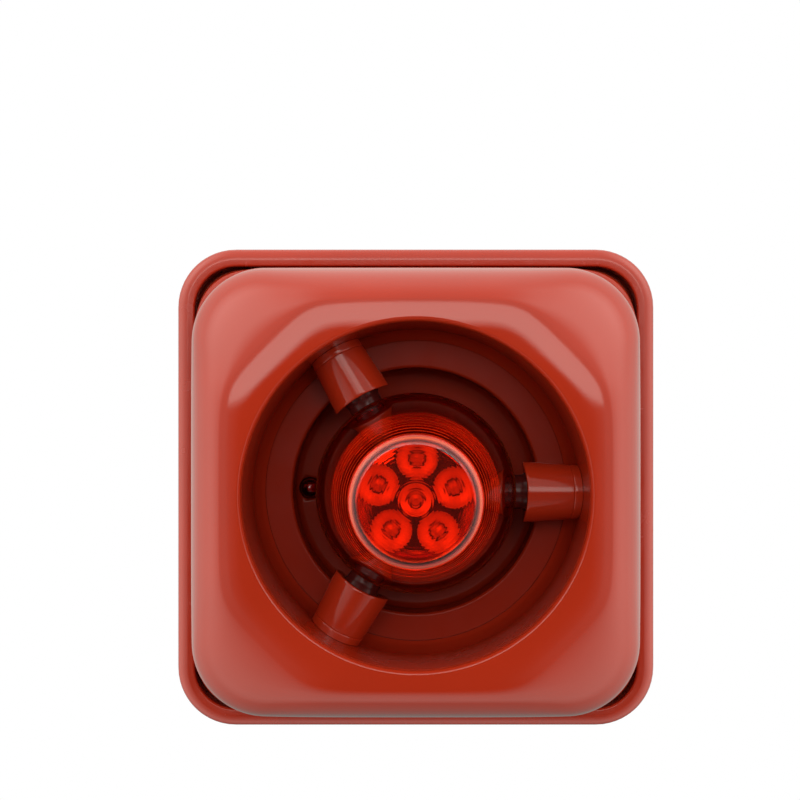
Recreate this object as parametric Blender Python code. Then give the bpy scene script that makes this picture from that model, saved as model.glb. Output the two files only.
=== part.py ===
"""Square wall alarm siren: a back box, and a swing-off head that holds the horn, driver and strobe.

Lengths are millimetres until place() turns them into metres. A point is (x, depth, z): x to the
right, depth forward from the wall and z up. The wall is the plane y = 0, and the front faces -y.
"""

import math

import bmesh
import bpy
from mathutils import Matrix, Vector

MM = 0.001

# Back box
RIM_HALF = 60.0          # half the width of the square rim
RIM_CORNER = 14.6
RIM_INNER_HALF = 55.6
RIM_INNER_CORNER = 10.5
RIM_BACK, RIM_FRONT = 23.0, 34.0
BOX_HALF, BOX_CORNER = 56.8, 12.0
CAVITY_HALF, CAVITY_CORNER = 53.2, 18.0
FLOOR = 3.0              # thickness of the floor, and the depth of its inner face
SLOT_WIDTH = 5.0         # wall screw slots
LEDGE = 25.0             # depth of the ledge that carries the gasket

# Head
COVER_HALF, COVER_CORNER = 53.8, 19.5
SKIRT_HALF, SKIRT_CORNER = 54.9, 18.0
SKIRT_BACK = 28.4
SHELL = 2.4
SHOULDER_BACK, MOUTH_FRONT = 54.0, 77.5
SHOULDER_POWER = 2.4     # 2 is an ellipse, more is squarer
MOUTH_RADIUS = 40.2
LIP = 1.6                # width of the rounded edge round the mouth
HORN_BACK = 48.0
HORN_LIP_RADIUS = 36.5
HINGE_Z, HINGE_DEPTH = 55.2, 33.0
HOOK_X = 8.4

# Horn insert
STEP_RADIUS = 29.9
THROAT_FLOOR = 36.0
THROAT_HOLE = 14.0
INDICATOR_X = -26.4

# Strobe
ARM_COUNT = 3
ARM_DEPTH = 57.2
ARM_INNER, ARM_OUTER = 26.4, 42.0
ARM_RADIUS_INNER, ARM_RADIUS_OUTER = 7.3, 6.5
SPIGOT_RADIUS = 4.8
HUB_RADIUS = 22.5
HUB_BACK, HUB_FRONT = 49.0, 62.1
FLANGE_RADIUS = 23.7
LENS_BACK, LENS_FRONT = 62.4, 107.0
LENS_TOP_RADIUS = 14.2
LENS_WALL = 2.0
LED_BOARD_BACK = 81.0
CUP_PITCH = 8.9
CUP_RADIUS = 4.7
CENTRE_CUP_RADIUS = 3.4
CUP_COUNT = 5
CUP_START_DEG = 16.0

# Electronics
BOARD = 1.6
MAIN_BOARD_BACK = 30.0
MAIN_BOARD_HALF = 49.0
POST_XZ = 42.0
TERMINAL_PITCH = 8.0
TERMINAL_BOARD_BACK = 8.0
LEVER_PITCH = 3.2

GAP = 0.3                # clearance between pieces that touch
COVER_POINTS = 48        # points round the square mouldings

RED = ((0.50, 0.035, 0.02), 0.32, 0.0)
DARK_RED = ((0.25, 0.01, 0.008), 0.2, 0.0)
CLEAR_RED = ((0.8, 0.02, 0.01), 0.08, 0.0)
BLACK = ((0.02, 0.02, 0.022), 0.5, 0.0)
RUBBER = ((0.03, 0.03, 0.03), 0.8, 0.0)
GREEN = ((0.03, 0.22, 0.09), 0.4, 0.0)
STEEL = ((0.6, 0.6, 0.62), 0.3, 1.0)
SILVER = ((0.85, 0.85, 0.87), 0.12, 1.0)
BRASS = ((0.78, 0.57, 0.25), 0.3, 1.0)
COPPER = ((0.72, 0.35, 0.2), 0.35, 1.0)
FERRITE = ((0.09, 0.09, 0.1), 0.6, 0.0)
WHITE = ((0.8, 0.8, 0.78), 0.4, 0.0)
BLUE = ((0.05, 0.16, 0.5), 0.4, 0.0)


def place(x, depth, z):
    """The world position of a point given in millimetres as x, depth, z."""
    return Vector((x, -depth, z)) * MM


def material(name, look):
    colour, roughness, metallic = look
    made = bpy.data.materials.new(name)
    made.use_nodes = True
    shader = made.node_tree.nodes["Principled BSDF"]
    shader.inputs["Base Color"].default_value = (*colour, 1.0)
    shader.inputs["Roughness"].default_value = roughness
    shader.inputs["Metallic"].default_value = metallic
    return made


def finish(name, bm, look):
    """Make an object of a closed mesh, with its faces pointing out and its round faces smooth."""
    bmesh.ops.recalc_face_normals(bm, faces=bm.faces)
    mesh = bpy.data.meshes.new(name)
    bm.to_mesh(mesh)
    bm.free()
    mesh.shade_smooth()
    mesh.set_sharp_from_angle(angle=math.radians(35))
    mesh.materials.append(material(name, look))
    piece = bpy.data.objects.new(name, mesh)
    bpy.context.scene.collection.objects.link(piece)
    return piece


def ring_stack(name, rings, look, closed=False):
    """Skin a stack of rings. A closed stack joins its last ring to its first, an open one is capped."""
    bm = bmesh.new()
    loops = [[bm.verts.new(point) for point in ring] for ring in rings]
    pairs = list(zip(loops, loops[1:]))
    if closed:
        pairs.append((loops[-1], loops[0]))
    for first, second in pairs:
        count = len(first)
        for i in range(count):
            j = (i + 1) % count
            bm.faces.new((first[i], first[j], second[j], second[i]))
    if not closed:
        bm.faces.new(loops[0])
        bm.faces.new(loops[-1])
    return finish(name, bm, look)


def circle(radius, depth, count, centre=(0.0, 0.0)):
    turns = (2 * math.pi * i / count for i in range(count))
    return [place(centre[0] + radius * math.cos(t), depth, centre[1] + radius * math.sin(t)) for t in turns]


def turned(name, profile, look, count=40, centre=(0.0, 0.0), closed=False):
    """Turn a profile of (radius, depth) points about an axis square to the wall."""
    rings = [circle(radius, depth, count, centre) for radius, depth in profile]
    return ring_stack(name, rings, look, closed)


def block(name, low, high, look, bevel=0.0):
    """A box between two corners, with its edges bevelled if asked."""
    bm = bmesh.new()
    bmesh.ops.create_cube(bm, size=1.0)
    a, b = place(*low), place(*high)
    size = Vector(abs(v) for v in b - a)
    matrix = Matrix.Translation((a + b) / 2) @ Matrix.Diagonal(size).to_4x4()
    bmesh.ops.transform(bm, matrix=matrix, verts=bm.verts)
    if bevel:
        bmesh.ops.bevel(bm, geom=bm.edges, offset=bevel * MM, segments=1, affect="EDGES", profile=0.5)
    return finish(name, bm, look)


def extruded(name, outline, low, high, look, axis="depth"):
    """Extrude an outline. Along depth its points are (x, z), and along x they are (depth, z)."""
    if axis == "depth":
        rings = [[place(x, level, z) for x, z in outline] for level in (low, high)]
    else:
        rings = [[place(level, depth, z) for depth, z in outline] for level in (low, high)]
    return ring_stack(name, rings, look)


def rod(name, start, end, radius, look, count=16, end_radius=None):
    """A round bar between two points, tapered if it has an end radius."""
    a, b = place(*start), place(*end)
    bm = bmesh.new()
    last = radius if end_radius is None else end_radius
    bmesh.ops.create_cone(bm, cap_ends=True, segments=count, radius1=radius * MM, radius2=last * MM,
                          depth=(b - a).length)
    turn = (b - a).to_track_quat("Z", "Y").to_matrix().to_4x4()
    bmesh.ops.transform(bm, matrix=Matrix.Translation((a + b) / 2) @ turn, verts=bm.verts)
    return finish(name, bm, look)


def combine(piece, tool, operation):
    """Apply a Boolean with a tool piece, and remove the tool."""
    step = piece.modifiers.new(operation, "BOOLEAN")
    step.operation = operation
    step.solver = "EXACT"
    step.object = tool
    bpy.context.view_layer.update()
    evaluated = piece.evaluated_get(bpy.context.evaluated_depsgraph_get())
    result = bpy.data.meshes.new_from_object(evaluated)
    piece.modifiers.clear()
    piece.data = result
    if len(result.materials) > 1:
        for face in result.polygons:
            face.material_index = 0
        while len(result.materials) > 1:
            result.materials.pop()
    bpy.data.objects.remove(tool)
    return piece


def cut(piece, tool):
    return combine(piece, tool, "DIFFERENCE")


def join(piece, tool):
    return combine(piece, tool, "UNION")


# ---- square outlines --------------------------------------------------------------------------


def quarter_angles(count):
    """Angles round a quarter turn, closest together at the corner in its middle."""
    steps = [2 * i / count - 1 for i in range(count)]
    return [math.radians(45) * (1 + math.copysign(abs(s) ** 1.3, s)) for s in steps]


ANGLES = [q * math.pi / 2 + a for q in range(4) for a in quarter_angles(COVER_POINTS // 4)]


def square_reach(half, corner, angle):
    """Distance from the centre to a rounded square's edge, along an angle."""
    a = angle % (math.pi / 2)
    a = min(a, math.pi / 2 - a)
    flat = half - corner
    if half * math.tan(a) <= flat:
        return half / math.cos(a)
    along = flat * (math.cos(a) + math.sin(a))
    return along + math.sqrt(along * along - 2 * flat * flat + corner * corner)


def square_ring(half, corner, depth, circle_part=0.0, radius=0.0):
    """A rounded square ring that blends towards a circle as circle_part goes to 1."""
    points = []
    for angle in ANGLES:
        reach = (1 - circle_part) * square_reach(half, corner, angle) + circle_part * radius
        points.append(place(reach * math.cos(angle), depth, reach * math.sin(angle)))
    return points


def shoulder(half, corner, radius, back, front, steps):
    """Rings from a rounded square at the back to a circle at the front, on a superelliptic section."""
    rings = []
    for i in range(steps + 1):
        turn = math.pi / 2 * i / steps
        circle_part = 1 - math.cos(turn) ** (2 / SHOULDER_POWER)
        depth = back + (front - back) * math.sin(turn) ** (2 / SHOULDER_POWER)
        rings.append(square_ring(half, corner, depth, circle_part, radius))
    return rings


# ---- back box ---------------------------------------------------------------------------------


def slot_cutter(x, z, length, width, upright):
    """A round-ended slot through the floor."""
    reach = (length - width) / 2
    outline = []
    for i in range(16):
        turn = 2 * math.pi * (i + 0.5) / 16
        across, along = math.cos(turn) * width / 2, math.sin(turn) * width / 2
        along += math.copysign(reach, along)
        outline.append((x + across, z + along) if upright else (x + along, z + across))
    return extruded("slot_cutter", outline, -1, FLOOR + 1, RED)


def back_box():
    profile = [
        (BOX_HALF - 0.8, BOX_CORNER, 0), (BOX_HALF, BOX_CORNER, 0.8),
        (BOX_HALF, BOX_CORNER, RIM_BACK - 1.4), (BOX_HALF + 1.4, BOX_CORNER + 1.4, RIM_BACK),
        (RIM_HALF - 0.4, RIM_CORNER, RIM_BACK + 0.8), (RIM_HALF, RIM_CORNER, RIM_BACK + 2),
        (RIM_HALF, RIM_CORNER, RIM_FRONT - 3), (RIM_HALF - 0.6, RIM_CORNER - 0.6, RIM_FRONT - 1.3),
        (RIM_HALF - 1.9, RIM_CORNER - 1.7, RIM_FRONT - 0.2), (RIM_HALF - 2.8, RIM_CORNER - 2.6, RIM_FRONT),
        (RIM_INNER_HALF + 0.6, RIM_INNER_CORNER + 0.6, RIM_FRONT - 0.2),
        (RIM_INNER_HALF, RIM_INNER_CORNER, RIM_FRONT - 1), (RIM_INNER_HALF, RIM_INNER_CORNER, LEDGE),
        (CAVITY_HALF, CAVITY_CORNER, LEDGE), (CAVITY_HALF, CAVITY_CORNER, FLOOR + 1.2),
        (CAVITY_HALF - 1.2, CAVITY_CORNER - 1, FLOOR),
    ]
    box = ring_stack("back_box", [square_ring(*ring) for ring in profile], RED)
    for side in (-1, 1):
        post_end = (side * 20, TERMINAL_BOARD_BACK - GAP, -40)
        join(box, rod("post", (side * 20, FLOOR - 1, -40), post_end, 3, RED))
        cut(box, slot_cutter(side * 40, 38, 10, SLOT_WIDTH, True))
        cut(box, slot_cutter(side * 40, -38, 10, SLOT_WIDTH, False))
        pocket_low = (side * HOOK_X - 2.7, LEDGE + 1.6, RIM_INNER_HALF - 1)
        pocket_high = (side * HOOK_X + 2.7, RIM_FRONT - 1.9, RIM_INNER_HALF + 2)
        cut(box, block("pocket", pocket_low, pocket_high, RED))
    join(box, rod("tamper_post", (-30, FLOOR - 1, -36), (-30, 17, -36), 3.4, RED))
    join(box, rod("entry_pad", (0, 11.5, -BOX_HALF + 1), (0, 11.5, -BOX_HALF - 0.6), 9, RED, 32))
    cut(box, rod("cable_hole", (0, -1, -21), (0, FLOOR + 1, -21), 8, RED, 32))
    return box


def base_gasket():
    outer, inner = (55.2, 17.6), (53.6, 17.2)
    low, high = LEDGE + GAP, SKIRT_BACK - GAP
    profile = [(*outer, low), (*outer, high - 0.5), (outer[0] - 0.5, outer[1] - 0.5, high),
               (inner[0] + 0.3, inner[1] + 0.3, high), (*inner, high - 0.3), (*inner, low)]
    return ring_stack("base_gasket", [square_ring(*ring) for ring in profile], RUBBER, closed=True)


def cable_grommet():
    profile = [(3.2, 1), (3.2, 4.4), (5, 5.6), (9.6, 5.6), (10.4, 4.8), (10.4, FLOOR + GAP),
               (7.7, FLOOR + GAP), (7.7, GAP), (5, GAP)]
    return turned("cable_grommet", profile, RUBBER, 20, (0, -21), closed=True)


def terminal_x(index):
    return (index - 1.5) * TERMINAL_PITCH


def terminals():
    """The wiring board in the box, with its block, clamp screws and contact springs."""
    top = TERMINAL_BOARD_BACK + BOARD + GAP
    back = TERMINAL_BOARD_BACK
    pieces = [block("terminal_board", (-24, back, -50), (24, back + BOARD, -31), GREEN)]
    housing = block("terminal_block", (-17, top, -41), (17, 21, -32), BLACK, 0.4)
    for i in range(4):
        x = terminal_x(i)
        cut(housing, rod("screw_well", (x, 14, -36.5), (x, 22, -36.5), 2.4, BLACK, 16))
        cut(housing, block("wire_way", (x - 1.8, 11.4, -34.5), (x + 1.8, 13.4, -31), BLACK))
    pieces.append(housing)
    for i in range(4):
        x = terminal_x(i)
        profile = [(1.4, 14.4), (2, 15), (2, 18.6), (1.7, 19)]
        screw = turned(f"terminal_screw_{i + 1}", profile, BRASS, 12, (x, -36.5))
        cut(screw, block("drive_slot", (x - 2.2, 18.1, -36.8), (x + 2.2, 19.5, -36.2), BRASS))
        pieces.append(screw)
        pieces.append(contact_spring(i, top))
    return pieces


def strip(path, thickness):
    """The outline of a bent leaf whose middle line follows a path."""
    sides = ([], [])
    for i, (a, b) in enumerate(path):
        before, after = path[max(i - 1, 0)], path[min(i + 1, len(path) - 1)]
        along = Vector((after[0] - before[0], after[1] - before[1])).normalized()
        for side, reach in zip(sides, (thickness / 2, -thickness / 2)):
            side.append((a - along.y * reach, b + along.x * reach))
    return sides[0] + sides[1][::-1]


def contact_spring(index, foot):
    """A bent leaf whose tip reaches the contact pad on the main board."""
    leaf = 0.5
    seat, tip = foot + leaf / 2, MAIN_BOARD_BACK - GAP - leaf / 2 - 0.1
    path = [(seat, -42.6), (seat, -46.6), (seat + 0.8, -48.2), (seat + 2.6, -48.6),
            (seat + 7.5, -46.6), (seat + 11, -47), (seat + 16, -46), (tip - 0.6, -44.9), (tip, -44),
            (tip - 0.6, -43.1), (tip - 2, -42.5)]
    x = terminal_x(index)
    return extruded(f"contact_spring_{index + 1}", strip(path, leaf), x - 1.8, x + 1.8, BRASS, axis="x")


# ---- head mouldings ---------------------------------------------------------------------------


def horn_wall_profile():
    """The inner face of the horn, from the mouth back to its lip."""
    return [(MOUTH_RADIUS, MOUTH_FRONT - 0.8), (39.9, 70), (39.3, 60), (39.0, 55), (38.4, 52.6), (37.5, 51.0),
            (HORN_LIP_RADIUS, 50.3)]


def front_cover():
    """The outer shell and horn wall in one moulding, with screw posts and two hooks at the top."""
    mouth = MOUTH_RADIUS + LIP
    rings = [square_ring(SKIRT_HALF, SKIRT_CORNER, SKIRT_BACK),
             square_ring(SKIRT_HALF - 0.3, SKIRT_CORNER, 36)]
    rings += shoulder(COVER_HALF, COVER_CORNER, mouth, SHOULDER_BACK, MOUTH_FRONT - 0.5, 8)
    rings.append(square_ring(1, 1, MOUTH_FRONT, 1, mouth - LIP / 2))
    rings += [square_ring(1, 1, depth, 1, radius) for radius, depth in horn_wall_profile()]
    behind = [(HORN_LIP_RADIUS, HORN_BACK), (41.4, HORN_BACK), (41.6, 60)]
    rings += [square_ring(1, 1, depth, 1, radius) for radius, depth in behind]
    inside = shoulder(COVER_HALF - SHELL, COVER_CORNER - SHELL, 42.2, SHOULDER_BACK, 71.5, 4)
    rings += inside[::-1]
    rings.append(square_ring(SKIRT_HALF - SHELL, SKIRT_CORNER - SHELL, SKIRT_BACK))
    cover = ring_stack("front_cover", rings, RED, closed=True)
    for x in (-POST_XZ, POST_XZ):
        for z in (-POST_XZ, POST_XZ):
            join(cover, rod("post", (x, MAIN_BOARD_BACK + BOARD + GAP, z), (x, 63, z), 3.5, RED, 12, 4.2))
            cut(cover, rod("post_hole", (x, 30, z), (x, 44, z), 1.7, RED, 8))
    for side in (-1, 1):
        low = (side * HOOK_X - 2.0, SKIRT_BACK + GAP, SKIRT_HALF - 1.5)
        join(cover, block("hook", low, (side * HOOK_X + 2.0, 31.3, 56.8), RED))
    for turn in arm_turns():
        cut(cover, radial_rod("arm_hole", turn, 35, 44, 1.7, 12))
    return cover


def horn_insert():
    """The stepped floor of the horn: a front band, the throat wall and the throat floor."""
    back = THROAT_FLOOR - 2
    profile = [(HORN_LIP_RADIUS - GAP, 49.7), (30.5, 49.1), (STEP_RADIUS, 48.5),
               (STEP_RADIUS, THROAT_FLOOR + 0.6), (STEP_RADIUS - 0.6, THROAT_FLOOR),
               (THROAT_HOLE, THROAT_FLOOR), (THROAT_HOLE, back), (STEP_RADIUS + 1.6, back),
               (STEP_RADIUS + 2, HORN_BACK - 2.5), (44.5, HORN_BACK - 2.5), (44.5, HORN_BACK - GAP),
               (HORN_LIP_RADIUS - GAP, HORN_BACK - GAP)]
    insert = turned("horn_insert", profile, RED, 40, closed=True)
    cut(insert, rod("led_hole", (INDICATOR_X, back - 1, 0), (INDICATOR_X, THROAT_FLOOR + 1, 0), 2.8, RED, 20))
    return insert


# ---- strobe -----------------------------------------------------------------------------------


def arm_turns():
    return [2 * math.pi * i / ARM_COUNT for i in range(ARM_COUNT)]


def radial_rod(name, turn, start, end, radius, count, look=RED, end_radius=None):
    """A round bar square to the horn's axis, between two distances from it, at the arms' depth."""
    near = (start * math.cos(turn), ARM_DEPTH, start * math.sin(turn))
    far = (end * math.cos(turn), ARM_DEPTH, end * math.sin(turn))
    return rod(name, near, far, radius, look, count, end_radius)


def strobe_arms():
    """Tapered sleeves between the horn wall and the lens, with ends that follow both."""
    arms = []
    space = [(radius - GAP, depth) for radius, depth in horn_wall_profile()]
    for i, turn in enumerate(arm_turns()):
        arm = radial_rod(f"strobe_arm_{i + 1}", turn, ARM_INNER - 3, ARM_OUTER, ARM_RADIUS_INNER, 28, RED,
                         ARM_RADIUS_OUTER)
        combine(arm, turned("horn_space", space, RED, 64), "INTERSECT")
        cut(arm, turned("core_space", [(ARM_INNER, 40), (ARM_INNER, 75)], RED, 64))
        cut(arm, radial_rod("arm_bore", turn, 20, 45, SPIGOT_RADIUS + GAP, 24))
        arms.append(arm)
    return arms


def arm_screws():
    """The first arm carries the strobe's lead, and the others are held by a screw from outside."""
    screws = []
    for i, turn in enumerate(arm_turns()[1:], start=1):
        screw = radial_rod(f"arm_screw_{i}", turn, 42.6, 44.6, 2.8, 16, STEEL, 2.2)
        join(screw, radial_rod("shank", turn, 28, 43, 1.3, 12, STEEL))
        screws.append(screw)
    return screws


def strobe_hub():
    """A cup on three spigots, with a groove for the seal and a column for the lamp board."""
    profile = [(20.5, HUB_BACK), (HUB_RADIUS, HUB_BACK + 2), (HUB_RADIUS, HUB_FRONT), (21.5, HUB_FRONT),
               (21.5, HUB_FRONT - 1.3), (19.6, HUB_FRONT - 1.3), (19.6, HUB_FRONT), (18.6, HUB_FRONT),
               (18.6, HUB_BACK + 2.6), (12.2, HUB_BACK + 2.6), (11, LED_BOARD_BACK - GAP),
               (8.5, LED_BOARD_BACK - GAP), (9.4, HUB_BACK + 4)]
    hub = turned("strobe_hub", profile, DARK_RED, 32)
    for turn in arm_turns():
        join(hub, radial_rod("spigot", turn, 21.7, 34, SPIGOT_RADIUS, 14))
        cut(hub, radial_rod("spigot_bore", turn, 17, 36, 1.7, 8))
    return hub


def lens_seal():
    low, high = HUB_FRONT - 1.0, HUB_FRONT
    profile = [(19.9, low), (21.2, low), (21.2, high), (19.9, high)]
    return turned("lens_seal", profile, RUBBER, 28, closed=True)


def beacon_lens():
    """A hollow tapered lens with a flat top."""
    outer = [(FLANGE_RADIUS, LENS_BACK), (FLANGE_RADIUS, 63.5), (FLANGE_RADIUS - 0.3, 64), (20.07, 80),
             (LENS_TOP_RADIUS + 0.5, LENS_FRONT - 1.6), (LENS_TOP_RADIUS - 0.2, LENS_FRONT - 0.5),
             (LENS_TOP_RADIUS - 1.4, LENS_FRONT)]
    inner = [(LENS_TOP_RADIUS - 2, LENS_FRONT - 2.2), (20.07 - LENS_WALL, 80), (19.5, 66), (19.5, LENS_BACK)]
    lens = turned("beacon_lens", outer, CLEAR_RED, 40)
    return cut(lens, turned("lens_space", inner + [(19.5, LENS_BACK - 2)], CLEAR_RED, 40))


def cup_places():
    """The centre of each lamp cup: one in the middle and five round it."""
    ring = [CUP_START_DEG + 360 / CUP_COUNT * i for i in range(CUP_COUNT)]
    around = [(CUP_PITCH * math.cos(math.radians(a)), CUP_PITCH * math.sin(math.radians(a))) for a in ring]
    return [(0.0, 0.0)] + around


def strobe_lamps():
    """The lamp board, the reflector with its cups, and a lamp in each cup."""
    board_top = LED_BOARD_BACK + BOARD
    pieces = [turned("led_board", [(15.5, LED_BOARD_BACK), (15.5, board_top)], WHITE, 24)]
    reflector = turned("reflector", [(15, 83.4), (14.5, 90)], SILVER, 32)
    for i, centre in enumerate(cup_places()):
        mouth = CUP_RADIUS if i else CENTRE_CUP_RADIUS
        bowl = [(2.7, 83), (2.7, 84.4), (mouth * 0.82, 87), (mouth, 91)]
        cut(reflector, turned("cup", bowl, SILVER, 14, centre))
        dome = [(2.3, board_top + GAP), (2.3, 85.6), (1.8, 87), (0.8, 87.7)]
        pieces.append(turned(f"strobe_led_{i + 1}", dome, WHITE, 12, centre))
    pieces.append(reflector)
    return pieces


def strobe_lead():
    """The two-core lead from the main board, through the first arm, to the lamp board."""
    route = [(48, 31.9, 0), (48, 44, 0), (47.8, 52, 0), (46, 56, 0), (42, ARM_DEPTH, 0),
             (30, ARM_DEPTH, 0), (20, ARM_DEPTH, 0), (16.4, 58.6, 0), (14.6, 62.5, 0), (14.3, 70, 0),
             (14.3, LED_BOARD_BACK - GAP, 0)]
    curve = bpy.data.curves.new("strobe_lead", "CURVE")
    curve.dimensions = "3D"
    curve.bevel_depth = 1.0 * MM
    curve.bevel_resolution = 2
    curve.use_fill_caps = True
    curve.resolution_u = 1
    curve.render_resolution_u = 0
    points = smooth_route(route, 2)
    spline = curve.splines.new("POLY")
    spline.points.add(len(points) - 1)
    for point, target in zip(spline.points, points):
        point.co = (*place(*target), 1)
    curve.materials.append(material("strobe_lead", BLACK))
    lead = bpy.data.objects.new("strobe_lead", curve)
    bpy.context.scene.collection.objects.link(lead)
    return lead


def smooth_route(route, steps):
    """Points on a Catmull-Rom curve through the route."""
    points = [Vector(p) for p in route]
    padded = [2 * points[0] - points[1]] + points + [2 * points[-1] - points[-2]]
    result = []
    for a, b, c, d in zip(padded, padded[1:], padded[2:], padded[3:]):
        for i in range(steps):
            t = i / steps
            result.append(0.5 * (2 * b + (c - a) * t + (2 * a - 5 * b + 4 * c - d) * t * t
                                 + (3 * b - a - 3 * c + d) * t ** 3))
    return result + [points[-1]]


def indicator_led():
    profile = [(2.4, MAIN_BOARD_BACK + BOARD + GAP), (2.4, 36.8), (1.9, 38.2), (0.8, 38.9)]
    return turned("indicator_led", profile, CLEAR_RED, 16, (INDICATOR_X, 0))


# ---- driver -----------------------------------------------------------------------------------


def driver():
    """The moving-coil driver behind the throat, without its moving pieces."""
    basket = [(23.2, 33.7), (23.2, 30.8), (19.8, 28.4), (19.8, 26), (16.4, 26), (16.9, 29), (17.4, 31.2),
              (19.3, 31.2), (19.3, 33.7)]
    yoke = [(19, 11), (19, 14), (9, 14), (9, 25.6), (8.4, 26.1)]
    plate = [(10.7, 23.4), (19, 23.4), (19, 25.7), (10.7, 25.7)]
    magnet = [(12.5, 14.3), (18.5, 14.3), (18.5, 23.1), (12.5, 23.1)]
    surround = [(17.1, 31.5), (19, 31.5), (19, 32.4), (17.1, 32.4)]
    return [
        turned("driver_basket", basket, BLACK, 24, closed=True),
        turned("driver_top_plate", plate, STEEL, 20, closed=True),
        turned("driver_magnet", magnet, FERRITE, 20, closed=True),
        turned("driver_yoke", yoke, STEEL, 20),
        turned("diaphragm_surround", surround, RUBBER, 24, closed=True),
    ]


def diaphragm():
    """The dome and its voice coil, which travel together along the horn's axis."""
    reach, apex, rise, skin = 16.7, 35.0, 3.2, 0.8
    radii = [reach, 13, 9, 4.5, 0.9]
    dome = [(r, apex - rise * (r / reach) ** 2) for r in radii]
    under = [(r, depth - skin) for r, depth in dome[::-1]]
    coil = [(9.5, 24.2), (10.2, 24.2), (10.2, 32.6), (9.5, 32.6)]
    return [turned("diaphragm_dome", dome[::-1] + under[::-1], WHITE, 24),
            turned("voice_coil", coil, COPPER, 20, closed=True)]


# ---- main board -------------------------------------------------------------------------------


def main_board():
    half, chamfer = MAIN_BOARD_HALF, 7.5
    near = half - chamfer
    outline = [(half, -near), (half, near), (near, half), (-near, half), (-half, near), (-half, -near),
               (-near, -half), (near, -half)]
    board = extruded("main_board", outline, MAIN_BOARD_BACK, MAIN_BOARD_BACK + BOARD, GREEN)
    cut(board, turned("driver_hole", [(24.2, 28), (24.2, 34)], GREEN, 28))
    for x in (-POST_XZ, POST_XZ):
        for z in (-POST_XZ, POST_XZ):
            cut(board, rod("screw_hole", (x, 28, z), (x, 34, z), 1.7, GREEN, 12))
    return board


def main_board_screws():
    screws = []
    back = MAIN_BOARD_BACK - GAP
    for i, (x, z) in enumerate(((-1, -1), (1, -1), (1, 1), (-1, 1))):
        centre = (x * POST_XZ, z * POST_XZ)
        profile = [(2.2, back - 2.2), (3, back - 1.4), (3, back), (1.35, back), (1.35, 40)]
        screw = turned(f"main_board_screw_{i + 1}", profile, STEEL, 12, centre)
        cut(screw, block("drive_slot", (centre[0] - 3.5, back - 3, centre[1] - 0.35),
                         (centre[0] + 3.5, back - 1.5, centre[1] + 0.35), STEEL))
        screws.append(screw)
    return screws


def board_parts():
    """The larger components on the back of the main board."""
    top = MAIN_BOARD_BACK - GAP
    transformer = block("transformer", (27, 15.5, 18), (43, top, 33), FERRITE, 0.6)
    join(transformer, block("winding", (29.5, 17, 15.6), (40.5, top - 1.5, 35.4), FERRITE, 0.5))
    pieces = [transformer]
    for i, (x, z, radius) in enumerate(((-36, 30, 5), (-24, 38, 5))):
        profile = [(radius - 0.5, 13.8), (radius, 14.4), (radius, top)]
        pieces.append(turned(f"capacitor_{i + 1}", profile, BLUE, 14, (x, z)))
    pieces.append(block("sounder_chip", (29, 27.4, -12), (41, top, -3), BLACK, 0.3))
    return pieces


def lever_z(index):
    return 4 + (index - 1.5) * LEVER_PITCH


def dip_switch():
    """A four-way setting switch. Each lever slides along x in its own slot."""
    top = MAIN_BOARD_BACK - GAP
    body = block("dip_switch_body", (-41.5, 24.6, -4), (-31.5, top, 12), BLUE, 0.3)
    levers = []
    for i in range(4):
        z = lever_z(i)
        cut(body, block("lever_slot", (-39, 24, z - 1.2), (-34, 27, z + 1.2), BLUE))
        levers.append(block(f"dip_lever_{i + 1}", (-38.5, 23.6, z - 0.85), (-36.7, 26.5, z + 0.85), WHITE))
    return body, levers


def volume_control():
    """A trimmer with a slotted rotor."""
    top, centre, half = MAIN_BOARD_BACK - GAP, (-36.0, -13.0), 4.8
    body = block("volume_body", (centre[0] - half, 24.6, centre[1] - half),
                 (centre[0] + half, top, centre[1] + half), BLUE, 0.4)
    cut(body, turned("rotor_well", [(3.3, 24), (3.3, 27.4)], BLUE, 20, centre))
    rotor = turned("volume_rotor", [(2.6, 23.9), (2.9, 24.2), (2.9, 27)], WHITE, 20, centre)
    cut(rotor, block("rotor_slot", (centre[0] - 2.2, 23, centre[1] - 0.4),
                     (centre[0] + 2.2, 25, centre[1] + 0.4), WHITE))
    return body, rotor, centre


def tamper_switch():
    """A switch whose plunger is held in by the post in the back box until the head opens."""
    top = MAIN_BOARD_BACK - GAP
    body = block("tamper_body", (-34, 22.4, -40), (-26, top, -32), BLACK, 0.4)
    cut(body, rod("plunger_bore", (-30, 20, -36), (-30, 27.6, -36), 1.9, BLACK, 16))
    plunger = turned("tamper_plunger", [(1, 17.3), (1.5, 17.8), (1.5, 25.4)], WHITE, 14, (-30, -36))
    return body, plunger


# ---- assembly ---------------------------------------------------------------------------------


def pivot(name, point):
    """An empty on a joint's axis."""
    empty = bpy.data.objects.new(name, None)
    empty.location = point
    bpy.context.scene.collection.objects.link(empty)
    return empty


def hang(pieces, parent):
    """Parent pieces to an empty without moving them."""
    for piece in pieces:
        piece.parent = parent
        piece.matrix_parent_inverse = Matrix.Translation(-parent.matrix_world.translation)


def head_pieces():
    switch, levers = dip_switch()
    volume, rotor, centre = volume_control()
    tamper, plunger = tamper_switch()
    fixed = [front_cover(), horn_insert(), strobe_hub(), lens_seal(), beacon_lens(), strobe_lead(),
             indicator_led(), main_board(), switch, volume, tamper]
    fixed += strobe_arms() + arm_screws() + strobe_lamps() + driver() + main_board_screws() + board_parts()
    moving = [("diaphragm_pivot", (0, 32, 0), diaphragm()),
              ("volume_pivot", (centre[0], 24, centre[1]), [rotor]),
              ("tamper_pivot", (-30, 20, -36), [plunger])]
    moving += [(f"lever_pivot_{i + 1}", (-37.6, 25, lever_z(i)), [lever])
               for i, lever in enumerate(levers)]
    return fixed, moving


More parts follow.
